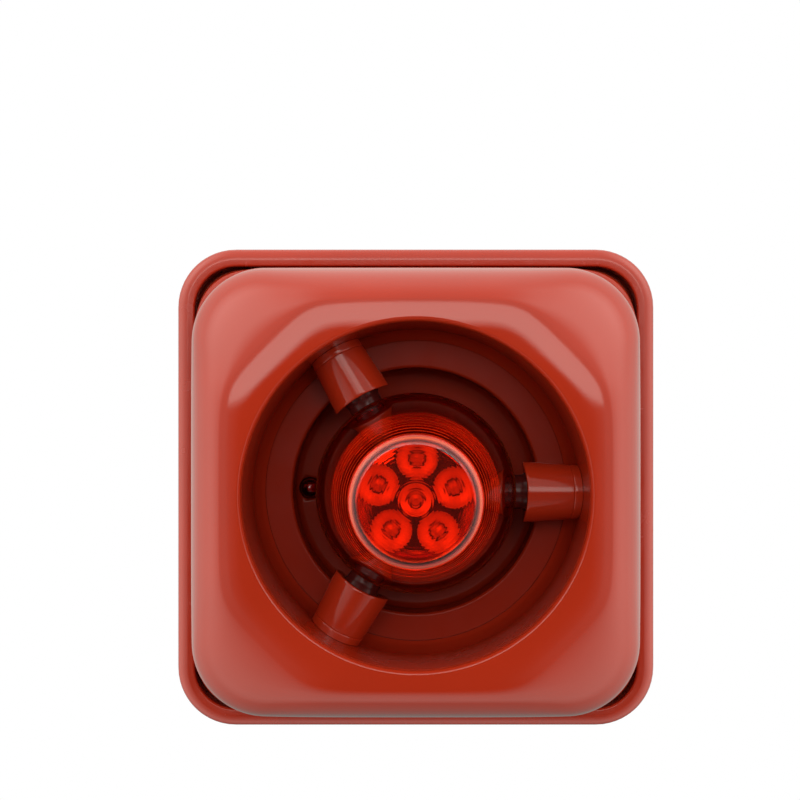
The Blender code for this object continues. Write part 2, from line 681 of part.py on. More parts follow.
def build():
    back_box()
    base_gasket()
    cable_grommet()
    terminals()
    fixed, moving = head_pieces()
    head = pivot("head_pivot", place(0, HINGE_DEPTH, HINGE_Z))
    joints = [(pivot(name, place(*point)), pieces) for name, point, pieces in moving]
    bpy.context.view_layer.update()
    hang(fixed, head)
    for empty, pieces in joints:
        hang(pieces, empty)
        hang([empty], head)


for leftover in list(bpy.data.objects):
    bpy.data.objects.remove(leftover)
build()
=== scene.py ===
"""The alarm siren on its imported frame: fine mouldings, lens, lamps, boards, materials and studio.

Lengths in the shapes are millimetres. A point is (x, depth, z), with depth forward from the wall.
"""

from math import copysign, cos, pi, radians, sin, sqrt, tan, tau

import bmesh
import bpy
from mathutils import Matrix, Vector


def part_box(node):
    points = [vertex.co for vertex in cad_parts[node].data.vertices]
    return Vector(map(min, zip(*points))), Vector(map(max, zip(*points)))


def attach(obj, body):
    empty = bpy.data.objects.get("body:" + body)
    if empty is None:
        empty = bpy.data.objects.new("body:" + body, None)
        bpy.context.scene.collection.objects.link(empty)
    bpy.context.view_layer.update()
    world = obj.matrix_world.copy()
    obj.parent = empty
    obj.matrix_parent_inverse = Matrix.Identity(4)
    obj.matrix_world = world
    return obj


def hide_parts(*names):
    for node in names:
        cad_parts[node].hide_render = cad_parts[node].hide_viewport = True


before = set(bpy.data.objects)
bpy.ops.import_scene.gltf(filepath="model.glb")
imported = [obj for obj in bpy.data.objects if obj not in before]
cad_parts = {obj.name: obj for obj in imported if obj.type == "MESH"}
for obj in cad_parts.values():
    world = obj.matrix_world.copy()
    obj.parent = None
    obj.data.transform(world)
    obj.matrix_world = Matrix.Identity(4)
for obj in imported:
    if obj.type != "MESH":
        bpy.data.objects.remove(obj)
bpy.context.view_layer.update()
MM = 0.001

# ---- places read from the frame ----


def extent(node):
    """A CAD node's low and high corners in millimetres as (x, depth, z)."""
    low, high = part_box(node)
    return Vector((low.x, -high.y, low.z)) / MM, Vector((high.x, -low.y, high.z)) / MM


def half_width(node):
    low, high = extent(node)
    return (high.x - low.x) / 2


def back_of(node):
    return extent(node)[0].y


def front_of(node):
    return extent(node)[1].y


def middle(node):
    low, high = extent(node)
    return (low + high) / 2


def axis_of(node):
    """The (x, z) of a part's middle."""
    centre = middle(node)
    return centre.x, centre.z


RIM_HALF = half_width("back_box")
RIM_FRONT = front_of("back_box")
MOUTH_FRONT = front_of("front_cover")
SKIRT_HALF = half_width("front_cover")
SKIRT_BACK = back_of("front_cover")
LENS_BACK, LENS_FRONT = back_of("beacon_lens"), front_of("beacon_lens")
FLANGE = half_width("beacon_lens")
HUB_BACK = back_of("strobe_hub")
ARM_DEPTH = middle("strobe_arm_1").y
BOARD_BACK, BOARD_FRONT = back_of("main_board"), front_of("main_board")

# Sizes of the mouldings
RIM_CORNER, RIM_INNER_HALF, RIM_INNER_CORNER = 14.6, 55.6, 10.5
BOX_HALF, BOX_CORNER, RIM_BACK = 56.8, 12.0, 23.0
CAVITY_HALF, CAVITY_CORNER, LEDGE, FLOOR = 53.2, 18.0, 25.0, 3.0
COVER_HALF, COVER_CORNER, SKIRT_CORNER, SHELL = 53.8, 17.6, 11.6, 2.4
SHOULDER_BACK, SHOULDER_POWER = 54.0, 2.4
PLATEAU_HALF, PLATEAU_CUT, PLATEAU_POWER = 45.2, 49.6, 22
FACE_START, FACE_END = 1.55, 2.4     # a quick turn at the plateau's edge, then a full round to the side
LEAN = 0.21              # slope of the face at the plateau's edge
MOUTH_RADIUS, LIP, LINER = 40.2, 1.0, 0.5
HORN_BACK, HORN_LIP_RADIUS = 48.0, 36.5
STEP_RADIUS, THROAT_FLOOR, THROAT_HOLE = 29.9, 36.0, 14.0
HOOK_X = 8.4
GAP = 0.3
CABLE_HOLE = (0, -21)
WALL_SLOT_X, WALL_SLOT_Z, WALL_SLOT_LENGTH, WALL_SLOT_WIDTH = 40, 38, 10, 5.0
POST = 42                # the board screws and their posts stand this far out both ways
CORNERS = ((-POST, -POST), (POST, -POST), (POST, POST), (-POST, POST))
CUP_CIRCLE, LAMP_FRONT = 8.9, 86.79
DRIVER_TAG_RADIUS = 23.3

# The view, in metres
CAMERA_PLACE, FOCAL_LENGTH, SENSOR, CAMERA_SHIFT = (0, -0.532, 0.022), 89.2, 36.0, -0.01975
FLOOR_LEVEL = -0.75

HEAD_ROUND = 256         # points round the cover and the box
FINE_ROUND = 128         # points round the turned mouldings

# ---- mesh helpers ----


def place(x, depth, z):
    return Vector((x, -depth, z)) * MM


def finish_mesh(name, bm, material, sharp=35):
    bmesh.ops.recalc_face_normals(bm, faces=bm.faces)
    mesh = bpy.data.meshes.new(name)
    bm.to_mesh(mesh)
    bm.free()
    mesh.shade_smooth()
    mesh.set_sharp_from_angle(angle=radians(sharp))
    mesh.materials.append(MAT[material])
    piece = bpy.data.objects.new(name, mesh)
    bpy.context.scene.collection.objects.link(piece)
    return piece


def ring_stack(name, rings, material, closed=False, sharp=35):
    """Skin a stack of rings. A closed stack joins its last ring to its first, an open one is capped."""
    bm = bmesh.new()
    loops = [[bm.verts.new(point) for point in ring] for ring in rings]
    pairs = list(zip(loops, loops[1:]))
    if closed:
        pairs.append((loops[-1], loops[0]))
    for first, second in pairs:
        for i, vertex in enumerate(first):
            j = (i + 1) % len(first)
            bm.faces.new((vertex, first[j], second[j], second[i]))
    if not closed:
        bm.faces.new(loops[0])
        bm.faces.new(loops[-1])
    return finish_mesh(name, bm, material, sharp)


def turned(name, profile, material, centre=(0.0, 0.0), count=FINE_ROUND, closed=False, sharp=35):
    """Turn (radius, depth) points about an axis square to the wall."""
    turns = [tau * i / count for i in range(count)]
    rings = [[place(centre[0] + r * cos(t), d, centre[1] + r * sin(t)) for t in turns] for r, d in profile]
    return ring_stack(name, rings, material, closed, sharp)


def blocks(name, corners, material, bevel=0.0, segments=1):
    """One mesh of blocks, each between a low and a high corner."""
    bm = bmesh.new()
    for low, high in corners:
        piece = bmesh.new()
        bmesh.ops.create_cube(piece, size=1.0)
        a, b = place(*low), place(*high)
        size = Vector(abs(v) for v in b - a)
        matrix = Matrix.Translation((a + b) / 2) @ Matrix.Diagonal(size).to_4x4()
        bmesh.ops.transform(piece, matrix=matrix, verts=piece.verts)
        if bevel:
            bmesh.ops.bevel(piece, geom=piece.edges, offset=bevel * MM, segments=segments,
                            affect="EDGES", profile=0.5)
        mesh = bpy.data.meshes.new("part")
        piece.to_mesh(mesh)
        piece.free()
        bm.from_mesh(mesh)
        bpy.data.meshes.remove(mesh)
    return finish_mesh(name, bm, material)


def block(name, low, high, material, bevel=0.0, segments=2):
    return blocks(name, [(low, high)], material, bevel, segments)


def circle(centre, side, other, radius, count):
    """Points round a centre, in the plane of two directions."""
    turns = [tau * i / count for i in range(count)]
    return [centre + (side * cos(t) + other * sin(t)) * radius * MM for t in turns]


def along_bar(name, stations, start, direction, material, count=48):
    """Turn (distance, radius) stations about a line that leaves start in a direction."""
    a, aim = place(*start), Vector((direction[0], -direction[1], direction[2])).normalized()
    side = aim.orthogonal().normalized()
    other = aim.cross(side)
    rings = [circle(a + aim * distance * MM, side, other, radius, count) for distance, radius in stations]
    return ring_stack(name, rings, material)


def soften(piece, width):
    """Round a piece's sharp edges."""
    bevel = piece.modifiers.new("edge_radius", "BEVEL")
    bevel.width, bevel.segments = width * MM, 2
    bevel.limit_method, bevel.angle_limit = "ANGLE", radians(35)
    bevel.harden_normals = True


def flatten(piece):
    """Let the large flat faces rule the shading, so that small rounds don't tint them."""
    piece.modifiers.new("flat", "WEIGHTED_NORMAL").keep_sharp = True
    return piece


def cut(piece, tool):
    """Take a tool's shape out of a piece, and remove the tool."""
    step = piece.modifiers.new("cut", "BOOLEAN")
    step.operation, step.solver, step.object = "DIFFERENCE", "EXACT", tool
    bpy.context.view_layer.update()
    result = bpy.data.meshes.new_from_object(piece.evaluated_get(bpy.context.evaluated_depsgraph_get()))
    piece.modifiers.clear()
    piece.data = result
    bpy.data.objects.remove(tool)
    return piece


def bore(piece, radius, low, high, centre=(0.0, 0.0), count=FINE_ROUND):
    """Cut a round hole between two depths."""
    return cut(piece, turned("tool", [(radius, low), (radius, high)], "red", centre, count))


def notch(piece, low, high, bevel=0.0):
    """Cut a block's shape out of a piece."""
    return cut(piece, block("tool", low, high, "red", bevel))


def smooth(points, steps):
    """Points on a Catmull-Rom curve through the given ones."""
    known = [Vector(p) for p in points]
    padded = [2 * known[0] - known[1]] + known + [2 * known[-1] - known[-2]]
    result = []
    for a, b, c, d in zip(padded, padded[1:], padded[2:], padded[3:]):
        for i in range(steps):
            t = i / steps
            result.append(0.5 * (2 * b + (c - a) * t + (2 * a - 5 * b + 4 * c - d) * t * t
                                 + (3 * b - a - 3 * c + d) * t ** 3))
    return [tuple(p) for p in result + [known[-1]]]


def arc(centre, radius, start, end, steps):
    """Points of an arc in a profile, from one angle to another in degrees."""
    turns = [radians(start + (end - start) * i / steps) for i in range(steps + 1)]
    return [(centre[0] + radius * cos(t), centre[1] + radius * sin(t)) for t in turns]


def square_angles(count):
    """Angles round a turn, closest together at the four corners."""
    quarter = count // 4
    steps = [2 * i / quarter - 1 for i in range(quarter)]
    inside = [radians(45) * (1 + copysign(abs(s) ** 1.25, s)) for s in steps]
    return [q * pi / 2 + a for q in range(4) for a in inside]


ANGLES = square_angles(HEAD_ROUND)


def square_reach(half, corner, angle):
    a = angle % (pi / 2)
    a = min(a, pi / 2 - a)
    flat = half - corner
    if half * tan(a) <= flat:
        return half / cos(a)
    along = flat * (cos(a) + sin(a))
    return along + sqrt(along * along - 2 * flat * flat + corner * corner)


def square_ring(half, corner, depth, circle_part=0.0, radius=0.0):
    """A rounded square that blends towards a circle as circle_part goes to 1."""
    points = []
    for angle in ANGLES:
        reach = (1 - circle_part) * square_reach(half, corner, angle) + circle_part * radius
        points.append(place(reach * cos(angle), depth, reach * sin(angle)))
    return points


def round_ring(radius, depth):
    return square_ring(1, 1, depth, 1, radius)


def ship(piece, *nodes, body="head", slot=None):
    """Say what a piece rides on and the CAD nodes that it stands for. Its slot argument is not used."""
    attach(piece, body)
    if nodes:
        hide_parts(*nodes)
    return piece


# ---- materials ----


class Nodes:
    """Short ways to build a node tree."""

    def __init__(self, tree):
        self.tree = tree

    def node(self, kind, **values):
        made = self.tree.nodes.new(kind)
        for key, value in values.items():
            if key in made.inputs:
                made.inputs[key].default_value = value
            else:
                setattr(made, key, value)
        return made

    def link(self, output, socket):
        self.tree.links.new(output, socket)
        return self

    def math(self, operation, first, second=0.0):
        made = self.node("ShaderNodeMath", operation=operation)
        for socket, value in zip(made.inputs, (first, second)):
            if isinstance(value, (int, float)):
                socket.default_value = value
            else:
                self.link(value, socket)
        return made.outputs[0]

    def times(self, first, second):
        return self.math("MULTIPLY", first, second)

    def plus(self, first, second):
        return self.math("ADD", first, second)

    def span(self, value, low, high, start=0.0, end=1.0):
        """Map a value from one range to another, clamped."""
        scale = self.node("ShaderNodeMapRange")
        for socket, number in zip(("From Min", "From Max", "To Min", "To Max"), (start, end, low, high)):
            scale.inputs[socket].default_value = number
        self.link(value, scale.inputs["Value"])
        return scale.outputs["Result"]

    def axes(self, vector):
        """The three coordinates of a vector output."""
        split = self.node("ShaderNodeSeparateXYZ")
        self.link(vector, split.inputs["Vector"])
        return [split.outputs[axis] for axis in "XYZ"]

    def mix(self, factor, first, second):
        """Mix two colours, each a tuple or an output."""
        mixer = self.node("ShaderNodeMix", data_type="RGBA")
        self.link(factor, mixer.inputs[0])
        for socket, colour in ((mixer.inputs[6], first), (mixer.inputs[7], second)):
            if isinstance(colour, tuple):
                socket.default_value = (*colour, 1.0)
            else:
                self.link(colour, socket)
        return mixer.outputs[2]


class Look(Nodes):
    """A Principled material whose sockets are driven from textures."""

    def __init__(self, name, colour, roughness, **sockets):
        self.material = bpy.data.materials.new(name)
        self.material.use_nodes = True
        super().__init__(self.material.node_tree)
        self.shader = self.tree.nodes["Principled BSDF"]
        self.set("Base Color", (*colour, 1.0))
        self.set("Roughness", roughness)
        for socket, value in sockets.items():
            self.set(socket.replace("_", " "), value)
        self.where = self.node("ShaderNodeTexCoord").outputs["Object"]

    def set(self, socket, value):
        self.shader.inputs[socket].default_value = value

    def noise(self, scale, detail=3.0, stretch=None):
        texture = self.node("ShaderNodeTexNoise", Scale=scale, Detail=detail)
        self.link(self.stretched(stretch) if stretch else self.where, texture.inputs["Vector"])
        return texture.outputs["Fac"]

    def stretched(self, stretch):
        mapping = self.node("ShaderNodeMapping")
        mapping.inputs["Scale"].default_value = stretch
        self.link(self.where, mapping.inputs["Vector"])
        return mapping.outputs["Vector"]

    def colour(self, output):
        return self.link(output, self.shader.inputs["Base Color"])

    def rough(self, output):
        return self.link(output, self.shader.inputs["Roughness"])

    def bump(self, *layers):
        """Stack (height output, distance in mm, strength) layers of bump."""
        last = None
        for height, distance, strength in layers:
            bump = self.node("ShaderNodeBump", Strength=strength, Distance=distance * MM)
            self.link(height, bump.inputs["Height"])
            if last is not None:
                self.link(last, bump.inputs["Normal"])
            last = bump.outputs["Normal"]
        return self.link(last, self.shader.inputs["Normal"])


def parts_of_place(look):
    """The distance from the horn's axis and the depth coordinate at the shaded point."""
    x, y, z = look.axes(look.where)
    return look.math("SQRT", look.plus(look.times(x, x), look.times(z, z))), y


def moulded(name, colour, darker, roughness, grain=900.0, relief=0.006, deep_shade=None, **sockets):
    """A moulded plastic: slight colour drift, a fine grain, and the long soft waves of a mould.

    With a deep colour given, the colour goes over to it from the horn's mouth inwards: painted shade, darker
    deeper in the horn.
    """
    look = Look(name, colour, roughness, **sockets)
    drift = look.mix(look.span(look.noise(35, 4), 0.0, 1.0, 0.35, 0.65), colour, darker)
    if deep_shade:
        # Painted shade: from the mouth inwards the colour goes over to a darker red, mottled at random.
        inside = look.span(parts_of_place(look)[1], 0.0, 1.0, -76.5 * MM, -62 * MM)
        mottle = look.mix(look.span(look.noise(90, 3), 0.0, 1.0), deep_shade, tuple(0.93 * c for c in deep_shade))
        drift = look.mix(inside, drift, mottle)
    look.colour(drift)
    look.rough(look.span(look.noise(160, 5), roughness * 0.85, roughness * 1.2, 0.3, 0.7))
    look.bump((look.noise(grain, 2), relief, 0.5), (look.noise(45, 1), 0.02, 0.06))
    return look.material


def tinted_clear(name, colour, roughness):
    """Clear moulded plastic that bends light, with a faint drift in its polish."""
    look = Look(name, colour, roughness, Transmission_Weight=1.0, IOR=1.55)
    look.rough(look.span(look.noise(60, 3), roughness * 0.5, roughness * 1.8, 0.3, 0.7))
    look.bump((look.noise(90, 2), 0.01, 0.15))
    return look.material


def lens_clear():
    """Clear red plastic whose rounded top edge is faintly frosted."""
    look = Look("clear_red", (0.965, 0.118, 0.018), 0.03, Transmission_Weight=1.0, IOR=1.55)
    reach, y = parts_of_place(look)
    edge = look.times(look.span(reach, 0.0, 1.0, 12.4 * MM, 12.8 * MM),
                     look.span(y, 1.0, 0.0, (2.1 - LENS_FRONT) * MM, (2.5 - LENS_FRONT) * MM))
    clear = look.span(look.noise(60, 3), 0.015, 0.05, 0.3, 0.7)
    look.rough(look.plus(clear, look.times(edge, 0.22)))
    look.bump((look.noise(90, 2), 0.01, 0.15))
    return look.material


def bowl_mirror():
    """Vacuum-coated plastic: bright flats and satin bowls."""
    look = Look("reflector_metal", (0.92, 0.92, 0.93), 0.09, Metallic=1.0)
    front = front_of("reflector")
    sunk = look.span(look.axes(look.where)[1], 0.0, 1.0, (0.05 - front) * MM, (0.25 - front) * MM)
    flat = look.span(look.noise(30, 4), 0.07, 0.13, 0.3, 0.7)
    look.rough(look.plus(flat, look.times(sunk, 0.33)))
    look.colour(look.mix(look.span(look.noise(120, 4), 0.0, 1.0, 0.4, 0.7), (0.92, 0.92, 0.93),
                         (0.86, 0.86, 0.87)))
    look.bump((look.noise(400, 3), 0.004, 0.4))
    return look.material


def metal(name, colour, roughness, brush=(40, 900, 40)):
    """A metal with a drawn or turned grain and faint staining."""
    look = Look(name, colour, roughness, Metallic=1.0)
    grain = look.noise(6, 4, brush)
    mottle = look.span(look.noise(120, 4), 0.0, 1.0, 0.4, 0.7)
    look.colour(look.mix(mottle, colour, tuple(0.8 * c for c in colour)))
    look.rough(look.span(grain, roughness * 0.7, roughness * 1.5, 0.3, 0.7))
    look.bump((grain, 0.01, 0.4))
    return look.material


def circuit_board():
    """Green solder mask over copper tracks, with the glass weave showing faintly."""
    mask, track, bare = (0.010, 0.105, 0.045), (0.025, 0.19, 0.075), (0.006, 0.06, 0.03)
    look = Look("circuit_board", mask, 0.3, Coat_Weight=0.4, Coat_Roughness=0.15)
    across, _, up = look.axes(look.where)
    plane = look.node("ShaderNodeCombineXYZ")
    look.link(across, plane.inputs["X"]).link(up, plane.inputs["Y"])
    bricks = look.node("ShaderNodeTexBrick", Scale=150.0)
    for socket, value in (("Mortar Size", 0.05), ("Mortar Smooth", 0.3), ("Brick Width", 0.9),
                          ("Row Height", 0.22)):
        bricks.inputs[socket].default_value = value
    look.link(plane.outputs["Vector"], bricks.inputs["Vector"])
    zones = look.node("ShaderNodeTexVoronoi", Scale=90.0, distance="CHEBYCHEV")
    look.link(plane.outputs["Vector"], zones.inputs["Vector"])
    patches = look.span(zones.outputs["Distance"], 0.0, 1.0, 0.42, 0.46)
    tracks = look.mix(bricks.outputs["Fac"], mask, track)
    look.colour(look.mix(patches, tracks, bare))
    look.rough(look.span(look.noise(400, 3), 0.25, 0.4))
    look.bump((bricks.outputs["Fac"], 0.03, 0.5), (look.noise(2500, 1), 0.004, 0.3))
    return look.material


def wound(name, colour, scale, direction="Y", metallic=0.9):
    """Fine wire or tape laid in turns along an axis."""
    look = Look(name, colour, 0.28, Metallic=metallic)
    wave = look.node("ShaderNodeTexWave", wave_type="BANDS", bands_direction=direction, Scale=scale)
    look.link(look.where, wave.inputs["Vector"])
    look.colour(look.mix(wave.outputs["Fac"], tuple(0.35 * c for c in colour), colour))
    look.bump((wave.outputs["Fac"], 0.05, 0.7))
    return look.material


def pale_floor():
    look = Look("pale_floor", (0.82, 0.82, 0.81), 0.6)
    look.colour(look.mix(look.noise(2, 3), (0.80, 0.80, 0.79), (0.84, 0.84, 0.83)))
    return look.material


RED = (0.385, 0.0245, 0.0065)
DRIFTED_RED = tuple(0.94 * c for c in RED)
MAT = {
    "red": moulded("red_plastic", RED, DRIFTED_RED, 0.075),
    "box": moulded("box_plastic", RED, DRIFTED_RED, 0.24, Specular_IOR_Level=0.62),
    # The horn plastic turns a darker red inwards: painted shade of the horn's recess.
    "horn": moulded("horn_plastic", RED, DRIFTED_RED, 0.22, deep_shade=(0.30, 0.0172, 0.0048),
                    Specular_IOR_Level=0.16),
    "arm": moulded("arm_plastic", RED, DRIFTED_RED, 0.12, Specular_IOR_Level=0.36),
    "black": moulded("black_plastic", (0.018, 0.018, 0.02), (0.012, 0.012, 0.013), 0.45, 1500, 0.02),
    "lens": lens_clear(),
    "signal": tinted_clear("signal_lamp", (0.85, 0.03, 0.02), 0.08),
    "lamp": moulded("lamp_epoxy", (0.97, 0.93, 0.80), (0.94, 0.88, 0.70), 0.42, 1200, 0.004, Metallic=0.7,
                    Coat_Weight=0.6),
    "core": moulded("dark_red_plastic", (0.075, 0.008, 0.007), (0.055, 0.006, 0.005), 0.22, 500, 0.003,
                    Specular_IOR_Level=0.2),
    "rubber": moulded("seal_rubber", (0.022, 0.022, 0.022), (0.014, 0.014, 0.014), 0.7, 2200, 0.03),
    "white": moulded("white_plastic", (0.74, 0.73, 0.69), (0.68, 0.66, 0.61), 0.4, 1200, 0.012),
    "blue": moulded("blue_plastic", (0.03, 0.10, 0.36), (0.02, 0.075, 0.28), 0.35, 1200, 0.01),
    "ferrite": moulded("ferrite", (0.045, 0.045, 0.05), (0.03, 0.03, 0.034), 0.62, 2600, 0.04),
    "tape": wound("winding_tape", (0.80, 0.50, 0.06), 160.0, "X", 0.0),
    "die": moulded("lamp_die", (0.75, 0.52, 0.05), (0.6, 0.4, 0.03), 0.5, 2600, 0.01),
    "dome": moulded("dome_film", (0.55, 0.50, 0.40), (0.47, 0.42, 0.33), 0.3, 700, 0.01),
    "core_red": moulded("lead_red", (0.42, 0.02, 0.015), (0.34, 0.015, 0.012), 0.4, 1500, 0.01),
    "steel": metal("plated_steel", (0.62, 0.62, 0.64), 0.28),
    "brass": metal("contact_brass", (0.78, 0.60, 0.30), 0.26),
    "mirror": bowl_mirror(),
    "gold": metal("gold_pad", (0.85, 0.65, 0.28), 0.22, (60, 60, 60)),
    "board": circuit_board(),
    "copper": wound("coil_copper", (0.62, 0.25, 0.11), 900.0),
    "floor": pale_floor(),
}

# ---- camera, floor and light ----


def camera():
    data = bpy.data.cameras.new("camera")
    data.sensor_width, data.lens, data.shift_x = SENSOR, FOCAL_LENGTH, CAMERA_SHIFT
    made = bpy.data.objects.new("camera", data)
    made.location = CAMERA_PLACE
    made.rotation_euler = (radians(90), 0, 0)
    bpy.context.scene.collection.objects.link(made)
    bpy.context.scene.camera = made


def ramp(n, value, stops):
    """A line through (degrees, level) stops, for a value of 1 at 180 degrees and levels up to ten."""
    curve = n.node("ShaderNodeValToRGB")
    points = curve.color_ramp.elements
    while len(points) < len(stops):
        points.new(1.0)
    for point, (degrees, level) in zip(points, stops):
        point.position = degrees / 180
        point.color = (level / 10, level / 10, level / 10, 1.0)
    n.link(value, curve.inputs["Fac"])
    return n.times(curve.outputs["Color"], 10.0)


def studio():
    """A white tent, dark where the camera looks in, with a soft box above the camera."""
    bm = bmesh.new()
    corners = [bm.verts.new((x, y, FLOOR_LEVEL)) for x, y in ((-2, -2), (2, -2), (2, 1), (-2, 1))]
    bm.faces.new(corners)
    floor = finish_mesh("floor", bm, "floor")
    floor.visible_glossy = floor.visible_diffuse = floor.visible_transmission = False
    world = bpy.data.worlds.new("studio")
    bpy.context.scene.world = world
    world.use_nodes = True
    n = Nodes(world.node_tree)
    tent = n.tree.nodes["Background"]
    x, y, z = n.axes(n.node("ShaderNodeTexCoord").outputs["Generated"])
    front = n.times(y, -1.0)
    off_axis = n.math("DIVIDE", n.math("ARCCOSINE", front), pi)
    x2, z2 = n.times(x, x), n.times(z, z)
    side = n.math("DIVIDE", x2, n.plus(n.plus(x2, z2), 1e-6))
    up = n.math("SUBTRACT", 1.0, side)
    above = n.span(z, 0.0, 1.0, -0.05, 0.05)
    below = n.math("SUBTRACT", 1.0, above)
    walls = ramp(n, off_axis, ((0, 0.05), (14, 0.08), (22, 0.42), (25, 0.8), (45, 1.2), (64, 1.7), (88, 1.9),
                               (101, 1.7), (115, 1.2), (133, 0.8), (180, 0.6)))
    roof = ramp(n, off_axis, ((0, 0.05), (10, 0.1), (23, 1.15), (45, 1.0), (85, 0.95), (110, 1.1), (150, 0.9),
                              (180, 0.7)))
    ground = ramp(n, off_axis, ((0, 0.05), (31, 0.05), (36, 0.3), (50, 0.5), (65, 0.85), (80, 1.25),
                                (98, 1.15), (110, 0.4), (130, 0.35), (180, 0.3)))
    vertical = n.plus(n.times(roof, above), n.times(ground, below))
    light = n.plus(n.times(walls, side), n.times(vertical, up))
    corner = n.times(n.times(side, up), above)
    lobes = ramp(n, off_axis, ((0, 0), (50, 0), (65, 6.0), (95, 6.0), (110, 0), (180, 0)))
    light = n.plus(light, n.times(corner, lobes))
    ahead = n.math("MAXIMUM", front, 0.001)
    rise = n.math("DIVIDE", z, ahead)
    box = ramp(n, off_axis, ((0, 0.0), (4, 0.0), (11, 3.8), (24, 3.6), (26, 0.0), (180, 0.0)))
    box = n.times(box, n.span(rise, 0.0, 1.0, 0.045, 0.09))
    light = n.math("MAXIMUM", light, n.times(box, n.math("GREATER_THAN", front, 0.0)))
    seen = n.node("ShaderNodeLightPath").outputs["Is Camera Ray"]
    n.link(n.math("MAXIMUM", n.times(light, n.math("SUBTRACT", 1.0, seen)), seen), tent.inputs["Strength"])
    n.link(n.mix(seen, (1.0, 0.955, 0.885), (1.0, 1.0, 1.0)), tent.inputs["Color"])


# ---- back box ----


def slot_tool(x, z, upright):
    reach, radius = (WALL_SLOT_LENGTH - WALL_SLOT_WIDTH) / 2, WALL_SLOT_WIDTH / 2
    outline = []
    for i in range(48):
        turn = tau * (i + 0.5) / 48
        across, along = cos(turn) * radius, sin(turn) * radius
        along += copysign(reach, along)
        outline.append((x + across, z + along) if upright else (x + along, z + across))
    rings = [[place(px, level, pz) for px, pz in outline] for level in (-1, FLOOR + 1)]
    return ring_stack("slot_tool", rings, "red")


def box_profile():
    """Rings (half, corner, depth) from the wall face out over the rim and down to the floor."""
    rings = [(BOX_HALF - 0.8, BOX_CORNER - 0.8, 0), (BOX_HALF - 0.25, BOX_CORNER - 0.2, 0.2),
             (BOX_HALF, BOX_CORNER, 0.8), (BOX_HALF, BOX_CORNER, RIM_BACK - 2),
             (BOX_HALF + 0.5, BOX_CORNER + 0.5, RIM_BACK - 0.7), (BOX_HALF + 1.6, BOX_CORNER + 1.4, RIM_BACK)]
    edge = 1.3
    rings += [(h, h - RIM_HALF + RIM_CORNER, d)
              for h, d in arc((RIM_HALF - edge, RIM_BACK + edge), edge, -80, 0, 6)]
    wide, deep = 3.0, 2.9
    for h, d in arc((0, 0), 1.0, 0, 87, 16):
        inset = wide * (1 - h)
        rings.append((RIM_HALF - inset, RIM_CORNER - inset, RIM_FRONT - deep * (1 - d)))
    edge = 0.6
    rings += [(h, h - RIM_INNER_HALF + RIM_INNER_CORNER, d)
              for h, d in arc((RIM_INNER_HALF + edge, RIM_FRONT - 0.05 - edge), edge, 92, 180, 7)]
    rings += [(RIM_INNER_HALF, RIM_INNER_CORNER, LEDGE + 0.3),
              (RIM_INNER_HALF - 0.3, RIM_INNER_CORNER, LEDGE), (CAVITY_HALF + 0.4, CAVITY_CORNER, LEDGE),
              (CAVITY_HALF, CAVITY_CORNER, LEDGE - 0.4)]
    rings += [(h, CAVITY_CORNER + h - CAVITY_HALF, d)
              for h, d in arc((CAVITY_HALF - 1.5, FLOOR + 1.5), 1.5, 0, -90, 5)]
    return rings


def base_box():
    box = ring_stack("base_box", [square_ring(*ring) for ring in box_profile()], "box")
    for side in (-1, 1):
        cut(box, slot_tool(side * WALL_SLOT_X, WALL_SLOT_Z, upright=True))
        cut(box, slot_tool(side * WALL_SLOT_X, -WALL_SLOT_Z, upright=False))
        low = (side * HOOK_X - 2.7, LEDGE + 1.6, RIM_INNER_HALF - 1)
        high = (side * HOOK_X + 2.7, RIM_FRONT - 1.9, RIM_INNER_HALF + 2)
        notch(box, low, high, 0.3)
    bore(box, 8, -1, FLOOR + 1, CABLE_HOLE, 96)
    channel = [(52.5, 8.5, -1), (52.5, 8.5, 0.45), (50.9, 6.9, 0.6), (50.9, 6.9, -1)]
    cut(box, ring_stack("tool", [square_ring(*ring) for ring in channel], "box", closed=True))
    for x, z, r in ((-24, 12, 8), (24, 12, 8), (0, 30, 10)):
        for radius in (r, r + 1.6):
            groove = [(radius - 0.35, -1), (radius - 0.35, 0.3), (radius, 0.5), (radius + 0.35, 0.3),
                      (radius + 0.35, -1)]
            cut(box, turned("tool", groove, "box", (x, z), 96, closed=True))
    flatten(box)
    ship(box, "back_box", body="base")
    posts = {"left": (-20, 7.7, 3.0), "right": (20, 7.7, 3.0), "tamper": (-30, 17, 3.4)}
    for name, (x, top, r) in posts.items():
        profile = [(r + 1.3, FLOOR - 0.5), (r + 1.1, FLOOR + 0.1), (r + 0.4, FLOOR + 0.6), (r, FLOOR + 1.4),
                   (r, top - 0.5), (r - 0.15, top - 0.15), (r - 0.5, top)]
        ship(turned(f"base_post_{name}", profile, "box", (x, -36 if name == "tamper" else -40), 48),
             body="base")
    stations = [(0, 9), (1.25, 9), (1.5, 8.85), (1.6, 8.5)]
    ship(along_bar("entry_pad", stations, (0, 11.5, -BOX_HALF + 1), (0, 0, -1), "box", 96), body="base")


